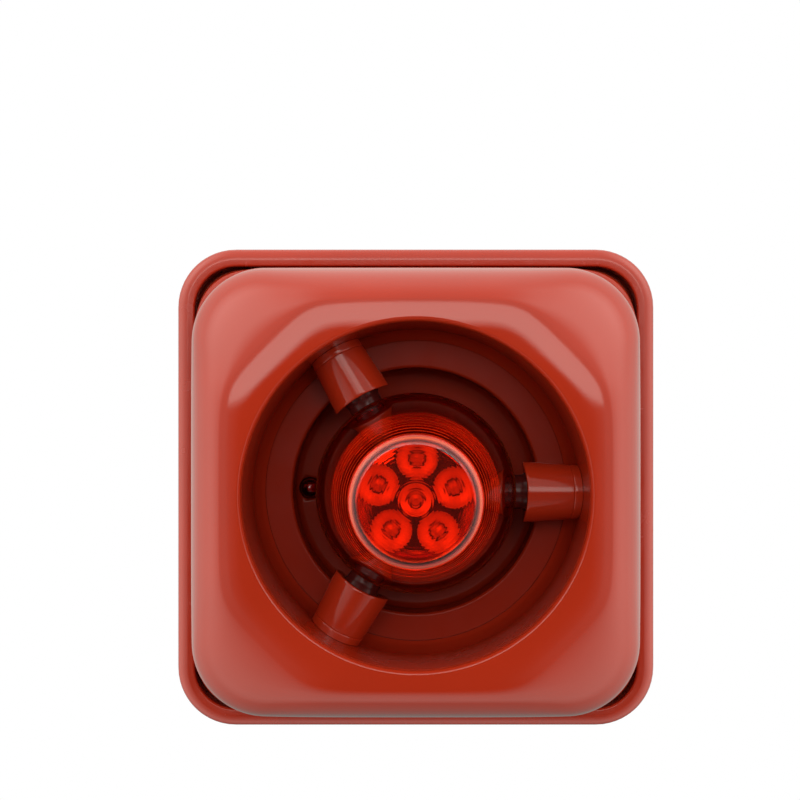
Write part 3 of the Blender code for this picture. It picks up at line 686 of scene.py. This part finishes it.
def base_fittings():
    gasket = [(55.1, 17.6, 25.4), (55.2, 17.6, 26.4), (54.9, 17.4, 27.5), (54.4, 17.2, 28.05),
              (53.9, 17.2, 27.5), (53.6, 17.2, 26.4), (53.7, 17.2, 25.4)]
    ship(ring_stack("gasket_cord", [square_ring(*ring) for ring in gasket], "rubber", closed=True),
         "base_gasket", body="base")
    grommet = [(3.2, 1.2), (3.2, 4.2), (3.6, 4.8), (5, 5.4), (9.4, 5.5), (10.1, 5.2), (10.4, 4.6),
               (10.4, 3.6), (10.1, 3.3), (7.9, 3.3), (7.7, 3.1), (7.7, 0.5), (7.5, 0.3), (5.2, 0.3),
               (3.6, 0.7)]
    ship(turned("cable_bush", grommet, "rubber", CABLE_HOLE, 96, closed=True), "cable_grommet", body="base")
    for i in range(4):
        x = (i - 1.5) * 8.0
        profile = [(1.4, 14.4), (1.9, 14.9), (2, 15.2), (2, 18.5), (1.85, 18.85), (1.6, 19)]
        screw = turned(f"clamp_screw_{i + 1}", profile, "brass", (x, -36.5), 48)
        notch(screw, (x - 2.2, 18.1, -36.8), (x + 2.2, 19.5, -36.2))
        ship(screw, f"terminal_screw_{i + 1}", body="base")


# ---- cover ----


def shoulder(half, corner, radius, back, front, steps):
    rings = []
    for i in range(steps + 1):
        turn = pi / 2 * i / steps
        circle_part = 1 - max(cos(turn), 0.0) ** (2 / SHOULDER_POWER)
        depth = back + (front - back) * sin(turn) ** (2 / SHOULDER_POWER)
        rings.append(square_ring(half, corner, depth, circle_part, radius))
    return rings


def plateau_reach(angle):
    """Distance from the centre to the edge of the plateau, a square with cut and softened corners."""
    across, up = abs(cos(angle)), abs(sin(angle))
    sides = (across / PLATEAU_HALF, up / PLATEAU_HALF, (across + up) / (sqrt(2) * PLATEAU_CUT))
    return sum(side ** PLATEAU_POWER for side in sides) ** (-1 / PLATEAU_POWER)


def dip(inset):
    """How far the plateau has risen this far in from its edge: steep there, then nearly level."""
    bend, level = 7.0, 0.01
    curved = min(inset, bend)
    return LEAN * curved - (LEAN - level) * curved ** 2 / (2 * bend) + level * (inset - curved)


def face_rings(mouth, steps):
    """The outer face: a shoulder up to the eight-sided plateau, and the plateau in to the mouth."""
    shares = [cos(pi / 2 * i / steps) ** (2 / FACE_START) for i in range(steps + 1)]
    shares[-1] = 0.0
    shares += [-i / 16 for i in range(1, 17)]
    rings = []
    for share in shares:
        ring = []
        for angle in ANGLES:
            edge = plateau_reach(angle)
            outside = square_reach(COVER_HALF, COVER_CORNER, angle)
            reach = edge + ((outside - edge) if share > 0 else (edge - mouth)) * share
            top = MOUTH_FRONT - dip(edge - mouth)
            if share > 0:
                top -= LEAN * (reach - edge)
                depth = SHOULDER_BACK + (top - SHOULDER_BACK) * (1 - share ** FACE_START) ** (1 / FACE_END)
            else:
                depth = top + dip(edge - reach)
            ring.append(place(reach * cos(angle), depth, reach * sin(angle)))
        rings.append(ring)
    return rings


def horn_wall():
    points = [(MOUTH_RADIUS, MOUTH_FRONT - LIP), (39.9, 70), (39.3, 60), (39.0, 55), (38.4, 52.6),
              (37.5, 51.0), (HORN_LIP_RADIUS, 50.3)]
    return smooth(points, 5)


def cover_shell():
    mouth = MOUTH_RADIUS + LIP
    skirt = [(SKIRT_HALF, SKIRT_CORNER, SKIRT_BACK), (SKIRT_HALF - 0.1, SKIRT_CORNER, 31),
             (SKIRT_HALF - 0.3, SKIRT_CORNER + 0.2, 36), (COVER_HALF + 0.4, 12.4, 42),
             (COVER_HALF + 0.2, 13.9, 47), (COVER_HALF + 0.05, 16.0, 51.5)]
    rings = [square_ring(*ring) for ring in skirt] + face_rings(mouth, 40)
    rings += [round_ring(r, d) for r, d in arc((mouth, MOUTH_FRONT - LIP), LIP, 84, 180, 10)]
    wall = horn_wall()
    rings += [round_ring(MOUTH_RADIUS, wall[0][1] - 0.5)]
    rings += [round_ring(r + LINER + 0.05, d) for r, d in wall[1:] if d < wall[0][1] - 0.5]
    rings += [round_ring(HORN_LIP_RADIUS + LINER + 0.05, HORN_BACK), round_ring(41.4, HORN_BACK),
              round_ring(41.6, 60)]
    rings += shoulder(COVER_HALF - SHELL, COVER_CORNER - SHELL, 42.2, SHOULDER_BACK, 71.5, 12)[::-1]
    rings.append(square_ring(SKIRT_HALF - SHELL, SKIRT_CORNER - SHELL, SKIRT_BACK))
    ship(ring_stack("cover_shell", rings, "red", closed=True), "front_cover")
    liner = [(r, d) for r, d in wall if d < wall[0][1] - 0.55]
    top = liner[0][1]
    liner = [(MOUTH_RADIUS, top)] + liner + [(HORN_LIP_RADIUS, HORN_BACK)]
    liner += [(r + LINER, max(d, HORN_BACK)) for r, d in liner[::-1]]
    ship(turned("horn_liner", liner, "horn", count=256, closed=True))


def cover_fittings():
    for i, (x, z) in enumerate(CORNERS):
        profile = [(1.7, 44), (1.7, 32.1), (1.9, 31.9), (3.3, 31.9), (3.5, 32.1), (4.1, 62), (4.1, 63)]
        ship(turned(f"cover_post_{i + 1}", profile, "red", (x, z), 48))
    for side, name in ((-1, "left"), (1, "right")):
        low = (side * HOOK_X - 2.0, SKIRT_BACK + GAP, SKIRT_HALF - 1.5)
        ship(block(f"cover_hook_{name}", low, (side * HOOK_X + 2.0, 31.3, 56.8), "red", 0.35, 3))


# ---- horn ----


def horn_floor():
    """The front band, the step down to the throat and its floor."""
    edge, foot = 0.7, 1.6
    rim, level = HORN_LIP_RADIUS - 0.05, 49.4
    profile = [(rim, level), (33, level), (STEP_RADIUS + edge, level)]
    profile += arc((STEP_RADIUS + edge, level - edge), edge, 85, 180, 6)
    profile += [(STEP_RADIUS, 44), (STEP_RADIUS, THROAT_FLOOR + foot)]
    profile += arc((STEP_RADIUS - foot, THROAT_FLOOR + foot), foot, 0, -90, 6)[1:]
    profile += [(THROAT_HOLE + 0.4, THROAT_FLOOR), (THROAT_HOLE, THROAT_FLOOR - 0.4),
                (THROAT_HOLE, THROAT_FLOOR - 2), (31.5, THROAT_FLOOR - 2), (31.9, 45.5), (44.2, 45.5),
                (44.5, 45.8), (44.5, 47.4), (44.2, 47.7), (rim, 47.7)]
    floor = turned("horn_floor", profile, "horn", count=192, closed=True)
    bore(floor, 2.8, 30, 40, axis_of("indicator_led"), 48)
    ship(floor, "horn_insert")


def arm(index, turn):
    """A tapered sleeve, hollowed to the lens at its inner end and shaped to the horn at its outer."""
    inner, hollow, start, end, count = 26.4, 5.15, 7.3, 6.5, 96
    wall = horn_wall()

    def horn_reach(depth):
        for (r0, d0), (r1, d1) in zip(wall, wall[1:]):
            if d1 <= depth <= d0:
                return r0 + (r1 - r0) * (d0 - depth) / (d0 - d1) - 0.08
        return wall[-1][0] - 0.08

    def point(theta, share, radius):
        """A surface point: share runs from 0 at the inner end to 1 at the horn."""
        across, depth = radius * cos(theta), ARM_DEPTH + radius * sin(theta)
        near = sqrt(inner ** 2 - across ** 2)
        far = sqrt(horn_reach(depth) ** 2 - across ** 2)
        length = near + (far - near) * share
        return place(length * cos(turn) - across * sin(turn), depth, length * sin(turn) + across * cos(turn))

    outside = [(0.0, 0.3), (0.007, 0.1), (0.02, 0), (0.05, 0), (0.3, 0), (0.6, 0), (0.84, 0), (0.85, 0.02),
               (0.856, 0.1), (0.866, 0.1), (0.872, 0.02), (0.882, 0), (0.93, 0), (1.0, 0)]
    stations = [(share, start + (end - start) * share - thin) for share, thin in outside]
    stations += [(1.0, hollow), (0.5, hollow), (0.0, hollow)]
    rings = [[point(tau * i / count, *station) for i in range(count)] for station in stations]
    sleeve = ring_stack(f"arm_sleeve_{index + 1}", rings, "arm", closed=True, sharp=50)
    ship(flatten(sleeve), f"strobe_arm_{index + 1}")


def arm_turns():
    return [tau * i / 3 for i in range(3)]


def arms():
    for index, turn in enumerate(arm_turns()):
        arm(index, turn)


def on_arm(name, stations, turn, material, count):
    """A bar along an arm's axis, with its stations measured from the middle of the horn."""
    return along_bar(name, stations, (0, ARM_DEPTH, 0), (cos(turn), 0, sin(turn)), material, count)


def hub():
    front = LENS_BACK - GAP
    profile = [(19.5, HUB_BACK), (20.8, HUB_BACK + 0.2), (22, HUB_BACK + 1.2), (22.5, HUB_BACK + 2.6),
               (22.5, front - 0.4), (22.2, front - 0.05), (21.5, front), (21.5, front - 1.3),
               (19.6, front - 1.3), (19.6, front), (18.8, front), (18.6, front - 0.3), (18.6, HUB_BACK + 2.8),
               (18.2, HUB_BACK + 2.6), (12.4, HUB_BACK + 2.6), (12.2, HUB_BACK + 2.9), (11, 80.5),
               (8.6, 80.6), (8.5, 80), (9.4, HUB_BACK + 4)]
    cup = turned("hub_cup", profile, "core")
    for i, turn in enumerate(arm_turns()):
        cut(cup, on_arm("tool", [(16, 1.7), (24, 1.7)], turn, "core", 24))
        stations = [(21.9, 4.3), (24.4, 4.1), (25.3, 4.2), (25.9, 4.6), (33.6, 4.8), (34, 4.5)]
        spigot = on_arm(f"hub_spigot_{i + 1}", stations, turn, "core", 64)
        cut(spigot, on_arm("tool", [(20, 1.7), (36, 1.7)], turn, "core", 24))
        ship(spigot)
    ship(cup, "strobe_hub")


def arm_screws():
    """Pan-headed screws that hold two of the arms from outside the horn."""
    for i, turn in enumerate(arm_turns()[1:], start=1):
        stations = [(28, 0.9), (28.4, 1.25), (42.6, 1.3), (42.61, 2.75), (43.3, 2.75), (44.1, 2.4),
                    (44.5, 1.6), (44.6, 0.6)]
        screw = on_arm(f"arm_fixing_{i}", stations, turn, "steel", 48)
        ship(screw, f"arm_screw_{i}")


# ---- strobe ----


def lens():
    """A tapered lens with a flange, a rounded top edge, raised rings inside its wall and a rippled top."""
    knee = (20.07, 80.0)
    profile = [(0.4, LENS_FRONT), (8, LENS_FRONT), (11.6, LENS_FRONT)]
    profile += arc((12.35, LENS_FRONT - 2.3), 2.3, 90, 12, 12)
    wall = 1.9
    profile += [(17.4, 92.5), knee, (FLANGE - 0.75, LENS_BACK + 3.0), (FLANGE - 0.62, LENS_BACK + 2.1),
                (FLANGE - 0.4, LENS_BACK + 1.7), (FLANGE - 0.12, LENS_BACK + 1.5), (FLANGE, LENS_BACK + 1.3),
                (FLANGE, LENS_BACK + 0.2), (FLANGE - 0.2, LENS_BACK), (19.7, LENS_BACK),
                (19.5, LENS_BACK + 0.2), (19.5, LENS_BACK + 1.1), (19.7, LENS_BACK + 1.3),
                (knee[0] + 3.5 - wall, LENS_BACK + 1.4), (knee[0] + 3.2 - wall, LENS_BACK + 2.2)]
    ribs, low, high, rib = 9, 81.0, 104.2, 0.28
    pitch = (high - low) / ribs
    for i in range(ribs):
        for share in (0.0, 0.3, 0.36, 0.43, 0.5, 0.57, 0.64, 0.7):
            swell = sqrt(max(1 - ((share - 0.5) / 0.2) ** 2, 0.0)) if 0.3 < share < 0.7 else 0.0
            depth = low + pitch * (i + share)
            profile.append((knee[0] - wall + 0.3 - (depth - knee[1]) * 0.211 - rib * swell, depth))
    ripples, pitch, ripple = 16, 0.8, 0.010
    for i in range(ripples * 4, 2, -1):
        profile.append((pitch * i / 4, LENS_FRONT - 2.25 + ripple * cos(tau * i / 4)))
    ship(turned("lens_body", profile, "lens", count=192, sharp=20), "beacon_lens")
    low, high = LENS_BACK - GAP - 1.0, LENS_BACK - GAP
    seal = arc((20.55, (low + high) / 2), 0.5, 0, 345, 23)
    ship(turned("seal_ring", [(20.55 + (r - 20.55) * 1.3, d) for r, d in seal], "rubber", closed=True),
         "lens_seal")


def cup_places():
    turns = [radians(16 + 72 * i) for i in range(5)]
    return [(0.0, 0.0)] + [(CUP_CIRCLE * cos(t), CUP_CIRCLE * sin(t)) for t in turns]


def lamps():
    """The lamp board, the reflector with its bowls, and a lamp with its die in each."""
    board_back, board_front = back_of("led_board"), front_of("led_board")
    disc = [(15.3, board_back), (15.5, board_back + 0.15), (15.5, board_front - 0.15), (15.3, board_front)]
    ship(turned("lamp_board", disc, "white"), "led_board")
    back, front = back_of("reflector"), front_of("reflector")
    body = [(14.6, back), (15, back + 0.3), (14.55, front - 0.5), (14.4, front - 0.15), (14.1, front)]
    dish = turned("reflector_dish", body, "mirror", count=192)
    for i, centre in enumerate(cup_places()):
        mouth, hole, drop = (4.7, 2.05, 2.7) if i else (3.9, 2.05, 2.0)
        sphere = (mouth ** 2 + drop ** 2) / (2 * drop)
        bowl = [(hole, back - 0.4)]
        for k in range(15):
            r = hole + (mouth - hole) * k / 14
            bowl.append((r, front - drop + sphere - sqrt(sphere ** 2 - r ** 2)))
        bowl.append((mouth + 0.6, front + 0.5))
        cut(dish, turned("tool", bowl, "mirror", centre, 64))
        foot_depth = board_front + GAP
        dome = [(1.9, foot_depth), (1.93, foot_depth + 0.1), (1.93, 85.7)]
        dome += arc((1.13, 85.75), 0.8, 0, 68, 8)
        dome += [(r, LAMP_FRONT - 0.3 * (r / 1.45) ** 2) for r in (1.2, 0.9, 0.6, 0.3, 0.05)]
        ship(turned(f"lamp_{i + 1}", dome, "lamp", centre, 64), f"strobe_led_{i + 1}")
        x, z = centre
        die = block(f"lamp_die_{i + 1}", (x - 0.45, 84.3, z - 0.45), (x + 0.45, 84.8, z + 0.45), "die", 0.08)
        ship(die)
    dish.data.shade_smooth()
    dish.data.set_sharp_from_angle(angle=radians(35))
    ship(dish, "reflector")


def tube(name, points, radius, material):
    """A round tube along points, without twist."""
    path = [place(*p) for p in points]
    side = (path[1] - path[0]).orthogonal().normalized()
    rings = []
    for i, point in enumerate(path):
        along = (path[min(i + 1, len(path) - 1)] - path[max(i - 1, 0)]).normalized()
        side = (side - along * side.dot(along)).normalized()
        rings.append(circle(point, side, along.cross(side), radius, 12))
    return ring_stack(name, rings, material)


def strobe_lead():
    """Two cores twisted together along the lead's route."""
    end = back_of("led_board") - GAP
    route = [(48, 31.9, 0), (48, 44, 0), (47.8, 52, 0), (46, 56, 0), (42, ARM_DEPTH, 0), (30, ARM_DEPTH, 0),
             (20, ARM_DEPTH, 0), (16.4, 58.6, 0), (14.6, 62.5, 0), (14.3, 70, 0), (14.3, end, 0)]
    line = [Vector(p) for p in smooth(route, 12)]
    for core, material in enumerate(("core_red", "black")):
        points = []
        for i, point in enumerate(line):
            along = (line[min(i + 1, len(line) - 1)] - line[max(i - 1, 0)]).normalized()
            side = along.cross(Vector((0, 0, 1))).normalized()
            turn = pi * core + i * 0.32
            points.append(point + (side * cos(turn) + Vector((0, 0, 1)) * sin(turn)) * 0.5)
        lead = tube(f"strobe_core_{core + 1}", points, 0.46, material)
        ship(lead, *(("strobe_lead",) if core else ()))


def indicator():
    x, z = axis_of("indicator_led")
    profile = [(2.9, BOARD_FRONT + GAP), (2.9, BOARD_FRONT + 1.2), (2.5, BOARD_FRONT + 1.25), (2.4, 36.6)]
    profile += arc((0, 36.62), 2.38, 0, 84, 12)
    ship(turned("status_lamp", profile, "signal", (x, z), 64), "indicator_led")
    anode = block("status_lamp_die", (x - 0.4, 34.6, -0.4), (x + 0.4, 35.2, 0.4), "core_red", 0.08)
    ship(anode, slot="lamp_epoxy")


# ---- driver ----


def rounded_ring(inner, outer, low, high, edge=0.25):
    """The profile of a ring with broken edges."""
    return [(inner + edge, low), (outer - edge, low), (outer, low + edge), (outer, high - edge),
            (outer - edge, high), (inner + edge, high), (inner, high - edge), (inner, low + edge)]


def driver():
    basket = [(23.2, 33.6), (23.2, 30.9), (22.9, 30.5), (19.9, 28.5), (19.8, 26.2), (19.6, 26), (16.5, 26),
              (16.9, 29), (17.4, 31.2), (19.2, 31.2), (19.3, 31.4), (19.3, 33.6), (19.5, 33.7), (23.0, 33.7)]
    ship(turned("basket_ring", basket, "black", closed=True), "driver_basket")
    ship(turned("top_plate", rounded_ring(10.7, 19, 23.4, 25.7), "steel", closed=True), "driver_top_plate")
    ship(turned("magnet_ring", rounded_ring(12.5, 18.5, 14.3, 23.1, 0.5), "ferrite", closed=True),
         "driver_magnet")
    yoke = [(1.5, 11.6), (1.8, 11.3), (6, 11), (18, 11), (18.7, 11.3), (19, 12), (19, 13.7), (18.7, 14),
            (9.2, 14), (9, 14.3), (9, 25.6), (8.4, 26.1), (1.8, 26.1)]
    ship(turned("yoke_plate", yoke, "steel"), "driver_yoke")
    roll = [(17.1, 31.5), (17.1, 31.7)] + arc((18.05, 31.7), 0.7, 180, 0, 14)
    roll += [(19, 31.7), (19, 31.5), (18.5, 31.5)] + arc((18.05, 31.6), 0.42, 0, 180, 8) + [(17.6, 31.5)]
    ship(turned("surround_roll", roll, "rubber", closed=True), "diaphragm_surround")
    reach, apex, rise, skin = 16.7, 35.0, 3.2, 0.8
    radii = [0.4 + (reach - 0.4) * i / 24 for i in range(25)]
    over = [(r, apex - rise * (r / reach) ** 2) for r in radii]
    under = [(r, d - skin) for r, d in over[::-1]]
    ship(turned("dome_skin", over + under, "dome"), "diaphragm_dome", body="diaphragm")
    ship(turned("coil_winding", rounded_ring(9.5, 10.2, 24.2, 32.6, 0.1), "copper", closed=True),
         "voice_coil", body="diaphragm")
    for side, material in ((-1, "core_red"), (1, "black")):
        turn = radians(-90 + side * 7)
        x, z = DRIVER_TAG_RADIUS * cos(turn), DRIVER_TAG_RADIUS * sin(turn)
        name = "left" if side < 0 else "right"
        tag = block(f"driver_tag_{name}", (x - 1.2, 27.2, z - 0.2), (x + 1.2, 30.3, z + 0.2), "brass", 0.1)
        ship(tag)
        route = [(x, 27.8, z), (x, 26.6, z - 0.8), (x + side * 1.2, 26, z - 2.6),
                 (x + side * 2.4, 26.6, z - 4.6), (x + side * 3, 28.2, z - 5.6),
                 (x + side * 3, 29.9, z - 5.7)]
        ship(tube(f"driver_wire_{name}", smooth(route, 8), 0.45, material))


# ---- main board ----


def slab(name, outline, low, high, material, edge=0.15):
    centre = Vector((sum(p[0] for p in outline), sum(p[1] for p in outline))) / len(outline)
    inset = []
    for x, z in outline:
        away = Vector((x, z)) - centre
        inset.append(centre + away * (1 - edge / away.length))
    rings = [[place(x, low, z) for x, z in inset], [place(x, low + edge, z) for x, z in outline],
             [place(x, high - edge, z) for x, z in outline], [place(x, high, z) for x, z in inset]]
    return ring_stack(name, rings, material)


def main_board():
    half, near = 49.0, 41.5
    outline = [(half, -near), (half, near), (near, half), (-near, half), (-half, near), (-half, -near),
               (-near, -half), (near, -half)]
    board = slab("circuit_board", outline, BOARD_BACK, BOARD_FRONT, "board")
    bore(board, 24.2, 28, 34)
    for x in (-POST, POST):
        for z in (-POST, POST):
            bore(board, 1.7, 28, 34, (x, z), 32)
    ship(board, "main_board")
    for i, (x, z) in enumerate(CORNERS):
        back = BOARD_BACK - GAP
        profile = [(0.8, back - 2.2), (1.8, back - 2.15), (2.6, back - 1.75), (3, back - 1.1),
                   (3, back - 0.15), (2.85, back), (1.4, back), (1.35, 39.6), (0.8, 40)]
        screw = turned(f"board_fixing_{i + 1}", profile, "steel", (x, z), 48)
        for wide, tall in ((2.0, 0.32), (0.32, 2.0)):
            notch(screw, (x - wide, back - 3, z - tall), (x + wide, back - 1.0, z + tall))
        ship(screw, f"main_board_screw_{i + 1}")
        ring = turned(f"screw_pad_{i + 1}", rounded_ring(1.9, 3.6, back + 0.24, back + 0.3, 0.02), "gold",
                      (x, z), 48, closed=True)
        ship(ring)
    pads = [((x - 2, BOARD_BACK - 0.06, -45.4), (x + 2, BOARD_BACK, -42.2)) for x in (-12, -4, 4, 12)]
    ship(blocks("contact_pads", pads, "gold", 0.02))


def on_board(x, z, half_x, half_z, tall, gap):
    """Corners of a small part on the back of the main board."""
    return (x - half_x, BOARD_BACK - tall, z - half_z), (x + half_x, BOARD_BACK - gap, z + half_z)


def surface_parts():
    """Resistors, small capacitors and three chips on the back of the main board."""
    bodies, ends, chips, legs = [], [], [], []
    spots = [(x, -28.5, True) for x in (-17, -11, -5, 5, 11, 17)]
    spots += [(x, 29, True) for x in (-9, -3, 3, 9, 15)]
    spots += [(x, z, False) for x in (30, 35, 40) for z in (-18, -24, -30)]
    spots += [(x, z, True) for x in (-44, -38) for z in (-24, -29)] + [(44.5, z, False) for z in (4, 9, 14)]
    for x, z, flat in spots:
        long, wide = (1.6, 0.8) if flat else (0.8, 1.6)
        bodies.append(on_board(x, z, long, wide, 0.7, 0.05))
        for side in (-1, 1):
            cx, cz = (x + side * 1.75, z) if flat else (x, z + side * 1.75)
            wx, wz = (0.4, 0.9) if flat else (0.9, 0.4)
            ends.append(on_board(cx, cz, wx, wz, 0.76, 0.01))
    for x, z, half_x, half_z, pins in ((2, 38.5, 5.2, 2.2, 8), (35, -36.5, 3.0, 2.2, 4)):
        chips.append(on_board(x, z, half_x, half_z, 1.6, 0.2))
        for k in range(pins):
            px = x - half_x + (k + 0.5) * 2 * half_x / pins
            for side in (-1, 1):
                z0, z1 = sorted((z + side * half_z, z + side * (half_z + 1.1)))
                legs.append(((px - 0.22, BOARD_BACK - 0.55, z0), (px + 0.22, BOARD_BACK - 0.02, z1)))
    tans = [on_board(x, z, 1.6, 2.6, 1.9, 0.1) for x, z in ((-12, 41), (-14, -38), (24, 29), (44, -3))]
    low, high = extent("sounder_chip")
    for k in range(5):
        pz = low.z + (k + 0.5) * (high.z - low.z) / 5
        for side, edge in ((-1, low.x), (1, high.x)):
            x0, x1 = sorted((edge, edge + side * 1.5))
            legs.append(((x0, BOARD_BACK - 0.9, pz - 0.3), (x1, BOARD_BACK - 0.02, pz + 0.3)))
    chip = block("tone_chip", low, high, "black", 0.3, 3)
    bore(chip, 0.5, low.y - 1, low.y + 0.15, (low.x + 1.4, high.z - 1.4), 24)
    ship(chip, "sounder_chip")
    ship(blocks("resistor_bodies", bodies, "black", 0.08))
    ship(blocks("resistor_ends", ends, "steel", 0.08))
    ship(blocks("chip_bodies", chips, "black", 0.15))
    ship(blocks("chip_legs", legs, "steel", 0.05))
    ship(blocks("tantalum_bodies", tans, "tape", 0.15), slot="black_plastic")


def large_parts():
    top = BOARD_BACK - GAP
    low = extent("transformer")[0]
    core = [((27, low.y, 18), (43, low.y + 3.4, 33)), ((27, 26.2, 18), (43, top, 33)),
            ((27, low.y + 3.2, 18), (30.4, 26.4, 33)), ((39.6, low.y + 3.2, 18), (43, 26.4, 33))]
    ship(blocks("transformer_core", core, "ferrite", 0.25), "transformer")
    ship(block("transformer_winding", (30.6, 19.1, 15.6), (39.4, 26.0, 35.4), "tape", 1.2, 4))
    for i in range(2):
        name = f"capacitor_{i + 1}"
        x, z = axis_of(name)
        front, r = back_of(name), half_width(name)
        sleeve = [(r - 0.05, front + 0.3), (r, front + 0.8), (r, top - 2.6), (r - 0.45, top - 2.1),
                  (r - 0.45, top - 1.7), (r, top - 1.2), (r, top - 0.2), (r - 0.3, top)]
        ship(turned(f"capacitor_sleeve_{i + 1}", sleeve, "blue", (x, z), 64), name)
        foil = [(r, front + 0.9), (r - 0.25, front + 0.2), (r - 0.6, front + 0.02), (r - 1.0, front + 0.12),
                (r - 1.4, front + 0.2), (0.5, front + 0.2)]
        end = turned(f"capacitor_end_{i + 1}", foil, "steel", (x, z), 64)
        for wide, tall in ((r - 1.6, 0.14), (0.14, r - 1.6)):
            notch(end, (x - wide, front - 1, z - tall), (x + wide, front + 0.4, z + tall))
        ship(end)


def controls():
    (x, z), half, top = axis_of("volume_body"), half_width("volume_body"), BOARD_BACK - GAP
    case = block("trimmer_case", (x - half, 24.6, z - half), (x + half, top, z + half), "blue", 0.4, 3)
    bore(case, 3.3, 24, 27.4, (x, z), 64)
    ship(case, "volume_body")
    profile = [(1.8, 23.9), (2.5, 23.92), (2.75, 24.05), (2.9, 24.35), (2.9, 26.8), (2.7, 27)]
    rotor = turned("trimmer_rotor", profile, "white", (x, z), 64)
    notch(rotor, (x - 2.3, 23, z - 0.4), (x + 2.3, 25, z + 0.4))
    notch(rotor, (x + 0.6, 23, z - 0.75), (x + 1.6, 24.5, z + 0.75))
    ship(rotor, "volume_rotor", body="volume_rotor")
    pin = axis_of("tamper_plunger")
    profile = [(0.5, 17.3), (0.9, 17.36), (1.3, 17.6), (1.5, 18), (1.5, 25.2), (1.3, 25.4)]
    ship(turned("plunger_pin", profile, "white", pin, 48), "tamper_plunger", body="tamper_plunger")
    low, high = extent("tamper_body")
    case = block("tamper_case", low, high, "black", 0.4, 3)
    bore(case, 1.9, 20, 27.6, pin, 48)
    ship(case, "tamper_body")
    low, high = extent("dip_switch_body")
    case = block("setting_case", low, high, "blue", 0.3, 3)
    for i in range(4):
        name = f"dip_lever_{i + 1}"
        z = middle(name).z
        notch(case, (-39, 24, z - 1.2), (-34, 27, z + 1.2), 0.15)
        ship(block(f"setting_lever_{i + 1}", *extent(name), "white", 0.18, 3), name, body=name)
    ship(case, "dip_switch_body")


def carried_nodes():
    """CAD nodes that keep their shape and get a finish and small edge radii."""
    finishes = {"terminal_board": ("board", 0.15), "terminal_block": ("black", 0.25)}
    finishes.update({f"contact_spring_{i + 1}": ("brass", 0.06) for i in range(4)})
    for name, (finish, width) in finishes.items():
        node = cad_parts[name]
        node.data.materials.clear()
        node.data.materials.append(MAT[finish])
        soften(node, width)


for build in (camera, studio, base_box, base_fittings, cover_shell, cover_fittings, horn_floor, arms, hub,
              arm_screws, lens, lamps, strobe_lead, indicator, driver, main_board, surface_parts,
              large_parts, controls, carried_nodes):
    build()
bpy.context.scene.view_settings.view_transform = "Standard"
